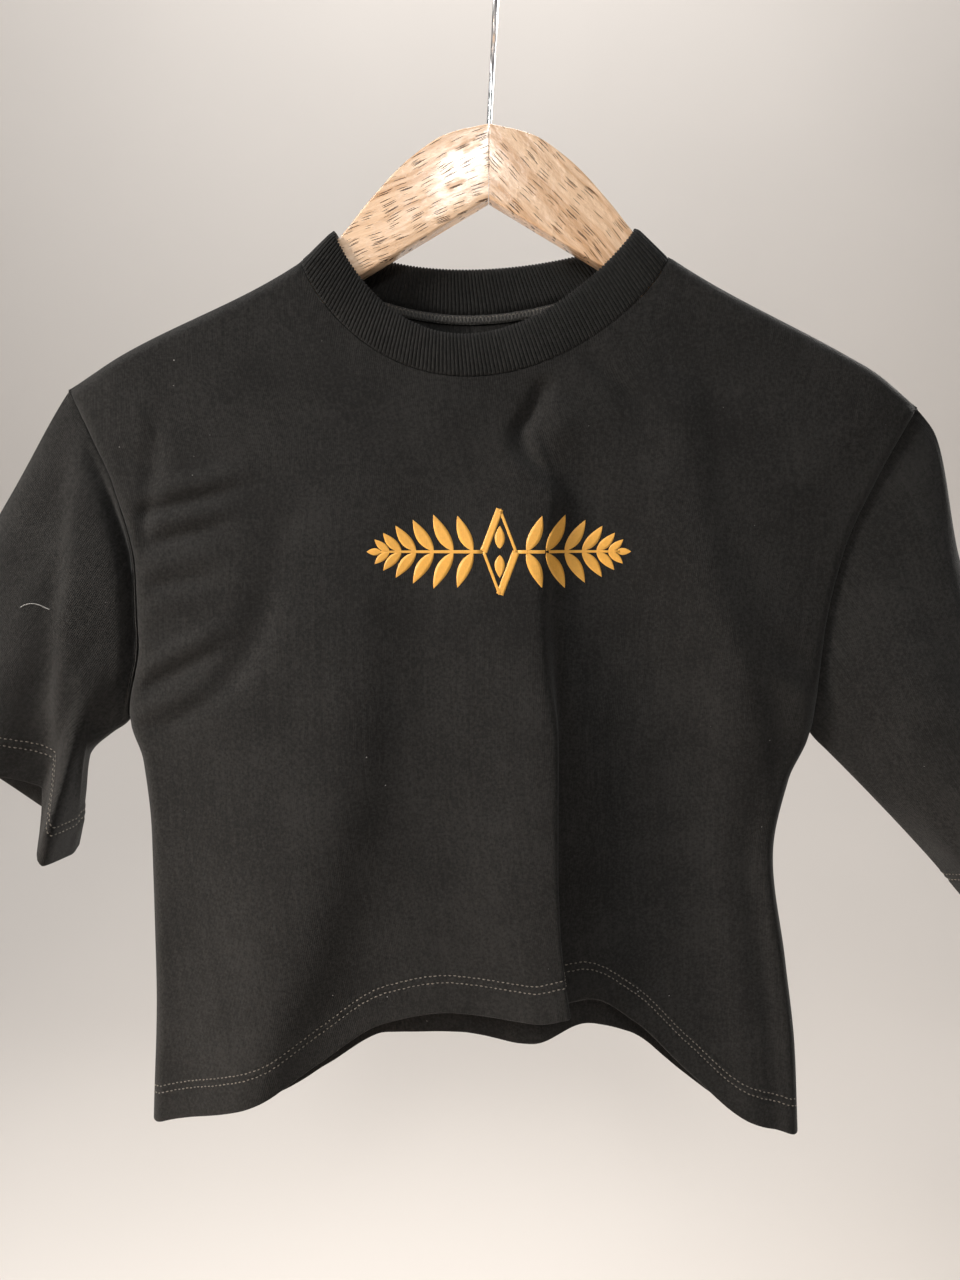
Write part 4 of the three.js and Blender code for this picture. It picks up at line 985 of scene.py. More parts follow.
# the strip inside the back of the neck: the turns between which it runs, then its sizes in millimetres
OVERLOCK = dict(start=0.11, end=0.39, steps=170, high=4.4, thick=1.5, below=0.4, gap=0.25)
OVERLOCK_SECTION = 14  # points around its section
LOOPER_PITCH = 1.9
LOOPER_THREADS = ((0.55, 0.0, 0.96), (-0.35, -0.1, 0.8))  # lean, drop, share of the strip's height
NEEDLE_PITCH, NEEDLE_STITCH, NEEDLE_THREAD = 2.1, 1.1, 0.5


def overlock_centre(turn, drop):
    """A place on the middle of the strip that lies down inside the back of the neck."""
    x, z = neck_point(NECK_SEAM, turn)
    z = z - OVERLOCK["below"] - drop
    y = panel_depth("back", x, z) - WALL - OVERLOCK["gap"] - OVERLOCK["thick"] / 2
    return np.stack((x, y, z), axis=-1)


def overlock_line(drop):
    """A line of places along the strip, and the way out of its face at each."""
    turn = np.linspace(OVERLOCK["start"] + 0.002, OVERLOCK["end"] - 0.002, 400)
    return overlock_centre(turn, drop), np.tile((0.0, -1.0, 0.0), (len(turn), 1))


def overlock_strip():
    """The bound edge of the cloth in the neck seam, as a long rounded strip."""
    turn = np.linspace(OVERLOCK["start"], OVERLOCK["end"], OVERLOCK["steps"])
    high, thick = OVERLOCK["high"], OVERLOCK["thick"]
    middle = overlock_centre(turn, high / 2)
    ends = smooth(np.minimum(turn - turn[0], turn[-1] - turn) / 0.004) * 0.9 + 0.1
    ripple = 1 + 0.12 * uneven(np.linspace(0, 160, len(turn)), 9, 0.7)
    angles = np.linspace(0, 2 * np.pi, OVERLOCK_SECTION, endpoint=False)
    rings = []
    for angle in angles:
        a, b = math.cos(angle), math.sin(angle)
        up = np.sign(a) * abs(a) ** 0.6 * high / 2 * ends * ripple
        out = np.sign(b) * abs(b) ** 0.7 * thick / 2 * ends
        rings.append(middle + np.stack((np.zeros_like(up), out, up), axis=-1))
    outer = np.stack(rings, axis=1)
    rows, columns = outer.shape[:2]
    r, c = np.arange(rows - 1)[:, None], np.arange(columns)[None, :]
    ends_of_strip = [np.arange(columns)[::-1], (rows - 1) * columns + np.arange(columns)]
    faces = list(ring_faces(r, c, r + 1, columns)) + ends_of_strip
    return link_mesh("neck_overlock_strip", outer.reshape(-1, 3), faces)


def overlock_threads(sewing):
    """The looper threads across the strip: slanted ones on its face and short ones over its lower edge."""
    high, thick = OVERLOCK["high"], OVERLOCK["thick"]
    up = np.array((0.0, 0.0, 1.0))
    frames = []
    for i, (point, ahead, out) in enumerate(zip(*along_line(*overlock_line(high / 2), LOOPER_PITCH))):
        for lean, drop, length in LOOPER_THREADS:
            slant = unit(up + lean * ahead)
            across = np.cross(out, slant)
            middle = point + out * (thick / 2 - 0.05) + up * (drop + 0.15 * math.sin(3.3 * i))
            half_wide, half_thick = across * sewing.thread / MM * 0.55, out * sewing.thread / MM * 0.5
            frames.append((middle, (slant * high * length / 2, half_wide, half_thick)))
        low = point - up * (high / 2 - 0.1) + ahead * 0.5
        frames.append((low, (ahead * 1.05, up * 0.28, out * 0.42)))
    return repeated("neck_overlock_threads", stitch_form(), frames)


def overlock_needle():
    """The needle's own row of short stitches along the top of the strip."""
    line, out = overlock_line(1.0)
    line = line - (0.0, OVERLOCK["thick"] / 2, 0.0)
    frames = stitch_frames(line, out, NEEDLE_PITCH, NEEDLE_STITCH, NEEDLE_THREAD)
    return repeated("neck_needle_row", stitch_form(), frames)


# ---------------------------------------------------------------- the print
PRINT_CENTRE = (1.0, -288.5)
PRINT_LIFT = 0.16  # from the cloth to the print's face
PRINT_THICK = 0.08
LEAF_PAIRS = (  # how far out on the stem, length, width, lean from the stem in degrees
    (13.5, 19.5, 6.4, 66), (23.5, 21, 6.6, 61), (33.5, 19, 6.2, 56), (42.5, 16.5, 5.6, 51), (50, 13, 4.8, 45),
    (56, 9.5, 3.8, 38),
)
LEAF_BEND = 0.16
END_LEAF = (60, 7.5, 3.6)  # how far out, length, width
MIDDLE_LEAF = (1.6, 11.5, 5.2)  # how far up, length, width
STEM_FROM, STEM_LONG = 9, 53
LOZENGE_OUT, LOZENGE_UP = 8.2, 21.5
LOZENGE_BROAD, LOZENGE_FINE = 1.9, 0.75  # the half widths of its sides


def leaf_points(unit_grid, foot, length, width, lean, bend):
    """A pointed leaf, from a unit grid: x runs along it and y across it."""
    t, s = unit_grid[:, 0], unit_grid[:, 1]
    half = width / 2 * np.sin(np.pi * t**0.85) ** 0.9
    along, across = t * length, s * half + bend * length * (t * (1 - t))
    c, d = math.cos(lean), math.sin(lean)
    return np.stack((foot[0] + along * c - across * d, foot[1] + along * d + across * c), axis=1)


def print_shapes():
    """The ornament's parts as flat x, z grids: a lozenge between two sprigs of leaves."""
    steps_along, steps_across = 16, 4
    along, across = np.linspace(0, 1, steps_along + 1), np.linspace(-1, 1, steps_across + 1)
    t, s = (part.ravel() for part in np.meshgrid(along, across, indexing="ij"))
    grid = np.stack((t, s), axis=1)
    shapes = []
    for mirror in (-1, 1):
        flat = []
        for out, length, width, lean in LEAF_PAIRS:
            for up in (-1, 1):
                foot = (out, 0.35 * up)
                flat.append(leaf_points(grid, foot, length, width, math.radians(lean) * up, -LEAF_BEND * up))
        out, length, width = END_LEAF
        flat.append(leaf_points(grid, (out, 0), length, width, 0, 0))
        flat.append(np.stack((STEM_FROM + STEM_LONG * t, s * (0.9 - 0.35 * t)), axis=1))
        for up in (-1, 1):  # the lozenge's sides, one broad and one fine
            wide = LOZENGE_BROAD if up * mirror < 0 else LOZENGE_FINE
            side = np.stack((LOZENGE_OUT * t, up * LOZENGE_UP * (1 - t)), axis=1)
            flat.append(side + np.stack((s * wide * 0.9, s * wide * 0.35 * up), axis=1))
        shapes += [points * (mirror, 1) + PRINT_CENTRE for points in flat]
    foot, length, width = MIDDLE_LEAF
    for up in (-1, 1):
        leaf = leaf_points(grid, (0, foot * up), length, width, math.radians(90) * up, 0)
        shapes.append(leaf + PRINT_CENTRE)
    r, c = np.meshgrid(np.arange(steps_along), np.arange(steps_across), indexing="ij")
    columns = steps_across + 1
    here = (r * columns + c).ravel()
    quads = np.stack((here, here + columns, here + columns + 1, here + 1), axis=1)
    return shapes, quads


def print_piece():
    """The ornament as a thin film that lies on the front."""
    shapes, quads = print_shapes()
    points, faces = [], []
    for shape in shapes:
        faces.append(quads + sum(len(part) for part in points))
        points.append(shape)
    flat = np.concatenate(points)
    x, z = flat[:, 0], flat[:, 1]
    y = -panel_depth("front", x, z) - slow_drift(x, z) - PRINT_LIFT
    piece = link_mesh("print_ornament", np.stack((x, y, z), axis=1), np.concatenate(faces))
    facing_out(piece, (0, -1, 0))
    finish_with(piece, "SOLIDIFY", thickness=PRINT_THICK * MM, offset=-1)
    return piece


def make_active(piece):
    """Makes a piece the active one and the only one that is selected."""
    bpy.ops.object.select_all(action="DESELECT")
    bpy.context.view_layer.objects.active = piece
    piece.select_set(True)


def facing_out(piece, way):
    """Turns the faces of an open sheet so that they face one way."""
    mesh = piece.data
    make_active(piece)
    bpy.ops.object.mode_set(mode="OBJECT")
    for face in mesh.polygons:
        face.select = face.normal.dot(Vector(way)) < 0
    for part in (mesh.edges, mesh.vertices):
        part.foreach_set("select", np.zeros(len(part), bool))
    bpy.ops.object.mode_set(mode="EDIT")
    bpy.ops.mesh.select_mode(type="FACE")
    bpy.ops.mesh.flip_normals()
    bpy.ops.object.mode_set(mode="OBJECT")


def finish_with(piece, kind, **settings):
    """Adds a modifier and applies it."""
    make_active(piece)
    modifier = piece.modifiers.new(kind.title(), kind)
    for name, value in settings.items():
        setattr(modifier, name, value)
    bpy.ops.object.modifier_apply(modifier=modifier.name)


# ---------------------------------------------------------------- hanger
HANGER_THICK = 12.0
HANGER_X = -4.6
ARM_TOP = (  # out from the joint, z of the top edge
    (0, -77.5), (20, -82), (40, -94.5), (60, -114.5), (74, -131), (86, -142.5), (98, -151.5), (140, -173.5),
    (184, -197.5),
)
ARM_TIP = (180, -217)
ARM_NOTCH_Z = -113.0
ARM_ROUNDING = 1.1
ARM_JOINT_GAP = 0.3
ARM_PAST_JOINT = 6  # how far an arm's outline runs on before it is mitred
HOLE_ROOM = 0.25  # between the wire and the wall of its hole
WIRE_IN_WOOD = 28.0
HOOK_INNER_RADIUS = 20.0
BEND_RADIUS = 16.0
LOOP_PAST_TOP = 115  # degrees that the loop runs on behind its top
WIRE_TIP = ((0.55, 0.84), (0.85, 0.53), (0.98, 0.2))  # share of the radius on, share of the radius left


def new_curve(name, kind, places, **settings):
    """A curve of one spline through places in metres, as the active object. Returns the spline."""
    bpy.ops.object.select_all(action="DESELECT")
    bpy.ops.curve.primitive_bezier_curve_add(location=(0, 0, 0))
    made = bpy.context.object
    made.name = name
    curve = made.data
    curve.splines.clear()
    for key, value in settings.items():
        setattr(curve, key, value)
    spline = curve.splines.new(kind)
    spline.points.add(len(places) - 1)
    for point, place in zip(spline.points, places):
        point.co = (*place, 1)
    return spline


def as_mesh():
    """The active curve, turned into a mesh."""
    bpy.ops.object.convert(target="MESH")
    return bpy.context.object


def flat_curve(name, outline, **settings):
    """A filled outline, x and z in millimetres, with a thickness along Y and rounded edges, as a mesh."""
    places = [(x * MM, z * MM, 0) for x, z in outline]
    spline = new_curve(name, "POLY", places, dimensions="2D", fill_mode="BOTH", **settings)
    spline.use_cyclic_u = True
    made = as_mesh()
    made.data.transform(Matrix.Rotation(math.pi / 2, 4, "X"))
    return made


def edit(piece, steps):
    """Runs edit-mode steps on all of a piece's mesh."""
    make_active(piece)
    bpy.ops.object.mode_set(mode="EDIT")
    bpy.ops.mesh.select_all(action="SELECT")
    steps()
    bpy.ops.object.mode_set(mode="OBJECT")


def arm_piece(name, sign, wire_radius):
    """One arm of the hanger, with its rounded tip, its mitred end and half of the hook's hole."""
    top = through(ARM_TOP)
    out = np.linspace(-ARM_PAST_JOINT, ARM_TOP[-1][0], 76)
    outline = [(sign * x, float(top(max(x, 0)))) for x in out]
    (end_x, end_z), (tip_x, tip_z) = ARM_TOP[-1], ARM_TIP
    middle = np.array(((end_x + tip_x) / 2, (end_z + tip_z) / 2))
    radius = math.dist(middle, (end_x, end_z))
    start = math.atan2(end_z - middle[1], end_x - middle[0])
    for angle in start - np.linspace(0, math.pi, 25)[1:]:
        outline.append((sign * (middle[0] + radius * math.cos(angle)), middle[1] + radius * math.sin(angle)))
    slope = (tip_z - ARM_NOTCH_Z) / tip_x
    outline.append((sign * -ARM_PAST_JOINT, ARM_NOTCH_Z - ARM_PAST_JOINT * slope))
    piece = flat_curve(
        name,
        [(x + HANGER_X, z) for x, z in outline],
        extrude=(HANGER_THICK / 2 - ARM_ROUNDING) * MM,
        bevel_depth=ARM_ROUNDING * MM,
        offset=-ARM_ROUNDING * MM,
        bevel_resolution=3,
    )
    cut = Vector(((HANGER_X + sign * ARM_JOINT_GAP / 2) * MM, 0, 0))

    def mitre():
        bpy.ops.mesh.remove_doubles(threshold=0.01 * MM)
        bpy.ops.mesh.bisect(plane_co=cut, plane_no=(-sign, 0, 0), use_fill=True, clear_outer=True)
        bpy.ops.mesh.select_all(action="SELECT")
        bpy.ops.mesh.normals_make_consistent(inside=False)

    edit(piece, mitre)
    foot = Vector((HANGER_X, 0, ARM_TOP[0][1])) * MM
    bpy.ops.object.select_all(action="DESELECT")
    bpy.ops.mesh.primitive_cylinder_add(
        vertices=32,
        radius=wire_radius + HOLE_ROOM * MM,
        depth=2 * (WIRE_IN_WOOD + 1) * MM,
        location=foot,
        rotation=(-foot).to_track_quat("Z", "Y").to_euler(),
    )
    drill = bpy.context.object
    finish_with(piece, "BOOLEAN", operation="DIFFERENCE", object=drill, solver="EXACT")
    bpy.data.objects.remove(drill)
    smooth_by_angle(piece, 32)
    return piece


def smooth_by_angle(piece, degrees):
    """Shades a piece smooth except at edges sharper than this."""
    make_active(piece)
    bpy.ops.object.shade_smooth_by_angle(angle=math.radians(degrees))


def hook_route(wire_radius):
    """The middle line of the wire, in millimetres: up out of the wood, forward, and round over the rail."""
    foot = np.array((HANGER_X, 0.0, ARM_TOP[0][1]))
    length = np.linalg.norm(foot)
    up = -foot / length
    loop_radius = HOOK_INNER_RADIUS + wire_radius
    loop_up = length - HOOK_INNER_RADIUS
    lean = math.acos(BEND_RADIUS / (loop_radius + BEND_RADIUS))
    bend_up = loop_up - (loop_radius + BEND_RADIUS) * math.sin(lean)
    route = [(way, 0.0) for way in np.linspace(-WIRE_IN_WOOD, bend_up, 12)[:-1]]
    for angle in np.linspace(0, lean, 16)[:-1]:
        route.append((bend_up + BEND_RADIUS * math.sin(angle), BEND_RADIUS * (1 - math.cos(angle))))
    for angle in np.linspace(math.pi / 2 + lean, -math.radians(LOOP_PAST_TOP), 90):
        route.append((loop_up + loop_radius * math.cos(angle), loop_radius * math.sin(angle)))
    return [foot + up * way + np.array((0, -forward, 0)) for way, forward in route]


def hook_piece(name, wire_radius):
    """The wire hook, with a rounded tip."""
    route = hook_route(wire_radius / MM)
    end = route[-1]
    ahead = unit(route[-1] - route[-2])
    route += [end + ahead * (wire_radius / MM) * on for on, _ in WIRE_TIP]
    radii = [1.0] * (len(route) - len(WIRE_TIP)) + [left for _, left in WIRE_TIP]
    settings = dict(dimensions="3D", bevel_depth=wire_radius, bevel_resolution=6, use_fill_caps=True)
    spline = new_curve(name, "POLY", [place * MM for place in route], **settings)
    for point, radius in zip(spline.points, radii):
        point.radius = radius
    piece = as_mesh()

    def close():
        bpy.ops.mesh.remove_doubles(threshold=0.001 * MM)
        bpy.ops.mesh.normals_make_consistent(inside=False)

    edit(piece, close)
    smooth_by_angle(piece, 50)
    return piece


# ---------------------------------------------------------------- lint
LINT = (  # points x, z of a stray thread on the left sleeve
    (-245.5, -317), (-242, -315.2), (-238.5, -315), (-235, -315.8), (-232.5, -317.6), (-230.5, -318),
)
LINT_RADIUS = 0.2
STRAY_THREAD_COLOUR = (0.42, 0.41, 0.40)


def on_sleeve(name, x, z, lift):
    """The point of a sleeve's front above a place x, z."""
    face, *_ = sleeve_face(name)
    front = face[:, : len(SLEEVE_HALF)].reshape(-1, 3)
    nearest = np.argsort(np.hypot(front[:, 0] - x, front[:, 2] - z))[:4]
    return np.array((x, front[nearest, 1].mean() - lift, z))


def lint_piece():
    """A stray thread that lies loosely on the cloth."""
    places = [on_sleeve("left", x, z, 0.3 + 0.5 * (i % 2)) * MM for i, (x, z) in enumerate(LINT)]
    settings = dict(bevel_depth=LINT_RADIUS * MM, bevel_resolution=1, use_fill_caps=True)
    spline = new_curve("lint_thread", "NURBS", places, **settings)
    spline.use_endpoint_u = True
    spline.order_u = 4
    return as_mesh()


# ---------------------------------------------------------------- nodes
class Tree:
    """Adds nodes to a node tree and links them."""

    def __init__(self, tree):
        self.tree = tree

    def node(self, kind, inputs=(), **settings):
        node = self.tree.nodes.new("ShaderNode" + kind)
        for name, value in settings.items():
            setattr(node, name, value)
        for name, value in dict(inputs).items():
            self.plug(node.inputs[name], value)
        return node

    def plug(self, socket, value):
        if isinstance(value, bpy.types.NodeSocket):
            self.tree.links.new(value, socket)
        else:
            socket.default_value = value

    def math(self, operation, *values):
        node = self.node("Math", operation=operation)
        for socket, value in zip(node.inputs, values):
            self.plug(socket, value)
        return node.outputs[0]

    def times(self, a, b):
        return self.math("MULTIPLY", a, b)

    def plus(self, a, b):
        return self.math("ADD", a, b)

    def minus(self, a, b):
        return self.math("SUBTRACT", a, b)

    def parts(self, vector):
        """The three parts of a vector or a colour."""
        return self.node("SeparateXYZ", {0: vector}).outputs

    def joined(self, *values):
        """A vector of up to three parts."""
        return self.node("CombineXYZ", dict(enumerate(values))).outputs[0]

    def vector(self, operation, a, b):
        return self.node("VectorMath", {0: a, 1: b}, operation=operation).outputs[0]

    def mix(self, factor, a, b, blend="MIX"):
        return self.node("Mix", {0: factor, 6: a, 7: b}, data_type="RGBA", blend_type=blend).outputs[2]

    def spread(self, value, low, high, to_low=0.0, to_high=1.0):
        """A value's range from low to high, drawn out smoothly onto another range."""
        inputs = {0: value, 1: low, 2: high, 3: to_low, 4: to_high}
        return self.node("MapRange", inputs, interpolation_type="SMOOTHSTEP").outputs[0]

    def noise(self, vector, scale, detail=2.0, roughness=0.5):
        inputs = {"Vector": vector, "Scale": scale, "Detail": detail, "Roughness": roughness}
        return self.node("TexNoise", inputs).outputs[0]

    def group(self, tree, inputs):
        node = self.node("Group", node_tree=tree)
        for name, value in inputs.items():
            self.plug(node.inputs[name], value)
        return node.outputs


def new_group(name, inputs, outputs):
    """An empty shader node group with named sockets, its input sockets and a way to fill its outputs."""
    group = bpy.data.node_groups.new(name, "ShaderNodeTree")
    for title, default in inputs.items():
        kind = "NodeSocketVector" if default is None else "NodeSocketFloat"
        socket = group.interface.new_socket(name=title, in_out="INPUT", socket_type=kind)
        if default is not None:
            socket.default_value = default
    for title in outputs:
        group.interface.new_socket(name=title, in_out="OUTPUT", socket_type="NodeSocketFloat")
    tree = Tree(group)
    start, end = group.nodes.new("NodeGroupInput"), group.nodes.new("NodeGroupOutput")

    def give(**values):
        for title, value in values.items():
            tree.plug(end.inputs[title], value)

    return group, tree, start.outputs, give


def knit_group():
    """The face of a fine plain knit: upright wales of small chevrons, and the faint streaks of its yarn."""
    inputs = {"Vector": None, "Wale": WALE, "Course": COURSE, "Streaks": 0.1}
    group, t, given, give = new_group("Knit stitches", inputs, ("Height", "Shade"))
    place = t.parts(given["Vector"])
    wales = t.math("DIVIDE", place[0], given["Wale"])
    courses = t.math("DIVIDE", place[1], given["Course"])
    across = t.math("ABSOLUTE", t.minus(t.times(t.math("FRACT", wales), 2.0), 1.0))
    slant = t.plus(courses, t.times(across, 0.5))
    loop = t.math("SINE", t.times(slant, 2 * math.pi))
    round_wale = t.minus(1.0, t.times(across, across))
    height = t.plus(t.times(round_wale, 0.7), t.times(loop, 0.15))
    column = t.math("FLOOR", wales)
    yarn = t.joined(t.times(column, 0.37), t.times(place[1], 9.0))
    streak = t.spread(t.noise(yarn, 1.7, 3.0), 0.3, 0.7, -1.0, 1.0)
    broad = t.joined(t.times(place[0], 430.0), t.times(place[1], 7.0))
    bar = t.spread(t.noise(broad, 1.0, 2.0), 0.3, 0.7, -1.0, 1.0)
    both = t.plus(t.times(streak, 0.6), t.times(bar, 0.6))
    give(Height=height, Shade=t.plus(1.0, t.times(both, given["Streaks"])))
    return group


def nap_group():
    """The brushed surface of cloth: soft fuzz, slow changes from handling, and specks of lint."""
    inputs = {"Vector": None, "Fineness": 1500.0, "Lint": 1.0}
    group, t, given, give = new_group("Nap and lint", inputs, ("Height", "Bloom", "Fleck"))
    vector = given["Vector"]
    fuzz = t.noise(vector, given["Fineness"], 3.0, 0.65)
    slow = t.noise(vector, 30.0, 3.0, 0.55)
    near = t.noise(vector, 640.0, 3.0, 0.65)
    bloom = t.plus(t.times(slow, 0.3), t.times(near, 0.7))
    specks = t.node("TexVoronoi", {"Vector": vector, "Scale": 105.0})
    size = t.parts(specks.outputs["Color"])
    radius = t.spread(size[0], 0.5, 1.0, 0.0, 0.036)
    fleck = t.math("LESS_THAN", specks.outputs["Distance"], radius)
    give(Height=fuzz, Bloom=bloom, Fleck=t.times(fleck, given["Lint"]))
    return group


def grain_group():
    """Open-pored wood: slow bands of colour along the grain and short dark pores. Its vector has the
    grain along X."""
    inputs = {"Vector": None, "Band": 0.004, "Pore length": 0.010, "Pore width": 0.0006}
    group, t, given, give = new_group("Wood grain", inputs, ("Figure", "Pore", "Height"))
    vector = given["Vector"]
    place = t.parts(vector)
    drift = t.times(t.minus(t.noise(vector, 22.0, 2.0), 0.5), 0.010)
    across = t.plus(place[2], drift)
    band = t.math("DIVIDE", across, given["Band"])
    bands = t.joined(t.times(place[0], 9.0), t.times(place[1], 60.0), band)
    figure = t.noise(bands, 1.0, 4.0, 0.6)
    cell_along = t.math("DIVIDE", place[0], given["Pore length"])
    cell_across = t.math("DIVIDE", across, given["Pore width"])
    cells = t.joined(cell_along, t.times(place[1], 300.0), cell_across)
    pores = t.node("TexVoronoi", {"Vector": cells, "Scale": 1.0, "Randomness": 0.85})
    own = t.parts(pores.outputs["Color"])
    wanted = t.spread(t.plus(own[0], t.times(figure, 0.15)), 0.28, 0.95, 0.0, 0.4)
    edge = t.minus(wanted, pores.outputs["Distance"])
    pore = t.spread(edge, 0.0, 0.1)
    fibre = t.joined(t.times(place[0], 90.0), t.times(place[1], 900.0), t.times(across, 2600.0))
    fine = t.noise(fibre, 1.0, 2.0)
    height = t.minus(t.times(fine, 0.25), pore)
    give(Figure=t.plus(t.times(figure, 0.8), t.times(fine, 0.2)), Pore=pore, Height=height)
    return group


def wear_group():
    """Handling wear: fine scratches and dulled patches, as a roughness to add."""
    group, t, given, give = new_group("Handling wear", {"Vector": None, "Size": 0.02}, ("Dull", "Height"))
    vector = given["Vector"]
    patches = t.node("VectorMath", {0: vector, 3: t.math("DIVIDE", 1.0, given["Size"])}, operation="SCALE")
    dull = t.spread(t.noise(patches.outputs[0], 1.0, 4.0, 0.6), 0.35, 0.75)
    lines = t.vector("MULTIPLY", vector, (1400.0, 1400.0, 60.0))
    scratch = t.spread(t.noise(lines, 1.0, 2.0), 0.62, 0.7)
    give(Dull=dull, Height=t.times(scratch, -0.5))
    return group


GROUPS = {"knit": knit_group, "nap": nap_group, "grain": grain_group, "wear": wear_group}


def shared_group(kind):
    """The node group of a kind, made the first time that a material asks for it."""
    title = f"crop_top_{kind}"
    if title not in bpy.data.node_groups:
        GROUPS[kind]().name = title
    return bpy.data.node_groups[title]


def new_material(name):
    """A material, its node tree and a way to fill its shader's inputs."""
    material = bpy.data.materials.new(name)
    material.use_nodes = True
    tree = Tree(material.node_tree)
    shader = material.node_tree.nodes["Principled BSDF"]

    def put(title, value):
        tree.plug(shader.inputs[title], value)

    return material, tree, put


def bump(tree, height, distance, strength, under=None):
    """A normal that a height of this many metres gives, on top of one that is under it."""
    inputs = {"Height": height, "Distance": distance, "Strength": strength}
    node = tree.node("Bump", inputs)
    if under is not None:
        tree.plug(node.inputs["Normal"], under)
    return node.outputs[0]


def rgba(colour, factor=1.0):
    """A colour made lighter or darker by a factor."""
    return (*(channel * factor for channel in colour), 1.0)


FLECK_COLOUR = (0.34, 0.33, 0.32)  # of the specks of lint


def cloth_material(name, colour, wale, course, streaks, fineness, lint, sheen):
    """Matt knitted cloth. Its stitches follow the cut, and its nap and lint lie on the whole garment."""
    material, t, put = new_material(name)
    cut = t.node("UVMap", uv_map="cut").outputs[0]
    whole = t.node("TexCoord").outputs["Object"]
    knit = {"Vector": cut, "Wale": wale, "Course": course, "Streaks": streaks}
    stitches = t.group(shared_group("knit"), knit)
    nap = t.group(shared_group("nap"), {"Vector": whole, "Fineness": fineness, "Lint": lint})
    bloomed = t.mix(t.spread(nap["Bloom"], 0.36, 0.64), rgba(colour, 0.66), rgba(colour, 1.36))
    # Painted shade: the cloth's colour is darkened where the stitches' relief is low, in the hollows between
    # them, and deep carries this painted shade on to the base colour.
    stitch_hollow_shade = t.mix(t.spread(stitches["Height"], 0.0, 0.6), rgba((0.86,) * 3), rgba((1.04,) * 3))
    deep = t.mix(1.0, bloomed, stitch_hollow_shade, "MULTIPLY")
    shade = t.node("CombineColor", {channel: stitches["Shade"] for channel in range(3)}).outputs[0]
    streaked = t.mix(1.0, deep, shade, "MULTIPLY")
    put("Base Color", t.mix(nap["Fleck"], streaked, rgba(FLECK_COLOUR)))
    put("Roughness", t.spread(nap["Height"], 0.2, 0.8, 0.82, 0.98))
    fuzz = bump(t, nap["Height"], 0.00018, 0.6)
    put("Normal", bump(t, stitches["Height"], 0.00022, 0.8, fuzz))
    put("Specular IOR Level", 0.18)
    put("Sheen Weight", sheen)
    put("Sheen Roughness", 0.42)
    put("Sheen Tint", (0.96, 0.98, 1.0, 1.0))
    return material


def thread_material(name, colour, fineness):
    """Spun thread: fine slanting plies that catch a little light, with random tone, a painted highlight on
    their raised fuzz and painted shade in its hollows.
    """
    material, t, put = new_material(name)
    whole = t.node("TexCoord").outputs["Object"]
    nap = t.group(shared_group("nap"), {"Vector": whole, "Fineness": fineness, "Lint": 0.0})
    # Painted highlight and shade, partly random tone: the colour is lighter where the fuzz stands up and
    # darker in its hollows.
    ply_highlight_and_shade = t.mix(t.spread(nap["Height"], 0.3, 0.7), rgba(colour, 0.6), rgba(colour, 1.35))
    put("Base Color", ply_highlight_and_shade)
    put("Roughness", t.spread(nap["Bloom"], 0.3, 0.7, 0.6, 0.8))
    put("Normal", bump(t, nap["Height"], 0.0001, 0.7))
    put("Sheen Weight", 0.1)
    return material


def print_material(name, colour):
    """A thin printed film: even, satin, with the knit just showing through it."""
    material, t, put = new_material(name)
    whole = t.node("TexCoord").outputs["Object"]
    nap = t.group(shared_group("nap"), {"Vector": whole, "Fineness": 700.0, "Lint": 0.0})
    wear = t.group(shared_group("wear"), {"Vector": whole, "Size": 0.03})
    place = t.parts(whole)
    on_front = t.joined(place[0], place[2])
    inputs = {"Vector": on_front, "Wale": WALE, "Course": COURSE, "Streaks": 0.05}
    knit = t.group(shared_group("knit"), inputs)
    warm = t.mix(t.spread(nap["Bloom"], 0.3, 0.7), rgba(colour, 0.93), rgba(colour, 1.05))
    put("Base Color", warm)
    put("Roughness", t.spread(wear["Dull"], 0.0, 1.0, 0.42, 0.58))
    film = bump(t, nap["Height"], 0.00005, 0.5)
    put("Normal", bump(t, knit["Height"], 0.00008, 0.6, film))
    return material


def wood_material(name, colour, pore_colour, tilt, centre, gloss):
    """Pale open-pored wood under clear lacquer, its grain tilted about Y by this angle in degrees."""
    material, t, put = new_material(name)
    whole = t.node("TexCoord").outputs["Object"]
    mapping = {"Vector": whole, "Location": centre, "Rotation": (0.0, math.radians(tilt), 0.0)}
    turned_to = t.node("Mapping", mapping).outputs[0]
    inputs = {"Vector": turned_to, "Band": 0.003, "Pore length": 0.011, "Pore width": 0.0005}
    grain = t.group(shared_group("grain"), inputs)
    along = t.vector("MULTIPLY", turned_to, (0.45, 1.0, 1.0))
    wear = t.group(shared_group("wear"), {"Vector": along, "Size": 0.006})
    light, dark = rgba(colour, 1.08), rgba((colour[0] * 0.76, colour[1] * 0.62, colour[2] * 0.48))
    banded = t.mix(t.spread(grain["Figure"], 0.4, 0.68), light, dark)
    put("Base Color", t.mix(grain["Pore"], banded, rgba(pore_colour)))
    put("Roughness", t.spread(wear["Dull"], 0.0, 1.0, 0.24, 0.5))
    rubbed = t.spread(wear["Dull"], 0.15, 0.75, 1.0, 0.25)
    put("Coat Weight", t.times(rubbed, t.minus(1.0, grain["Pore"])))
    put("Coat Roughness", gloss)
    ripple = bump(t, wear["Dull"], 0.0005, 0.5)
    put("Normal", bump(t, grain["Height"], 0.00022, 0.8, ripple))
    return material


def wire_material(name, colour):
    """Bright plated wire with fine drawing lines and dulled patches."""
    material, t, put = new_material(name)
    whole = t.node("TexCoord").outputs["Object"]
    wear = t.group(shared_group("wear"), {"Vector": whole, "Size": 0.006})
    put("Base Color", t.mix(wear["Dull"], rgba(colour), rgba(colour, 0.86)))
    put("Metallic", 1.0)
    put("Roughness", t.spread(wear["Dull"], 0.0, 1.0, 0.16, 0.34))
    put("Normal", bump(t, wear["Height"], 0.00004, 0.5))
    return material


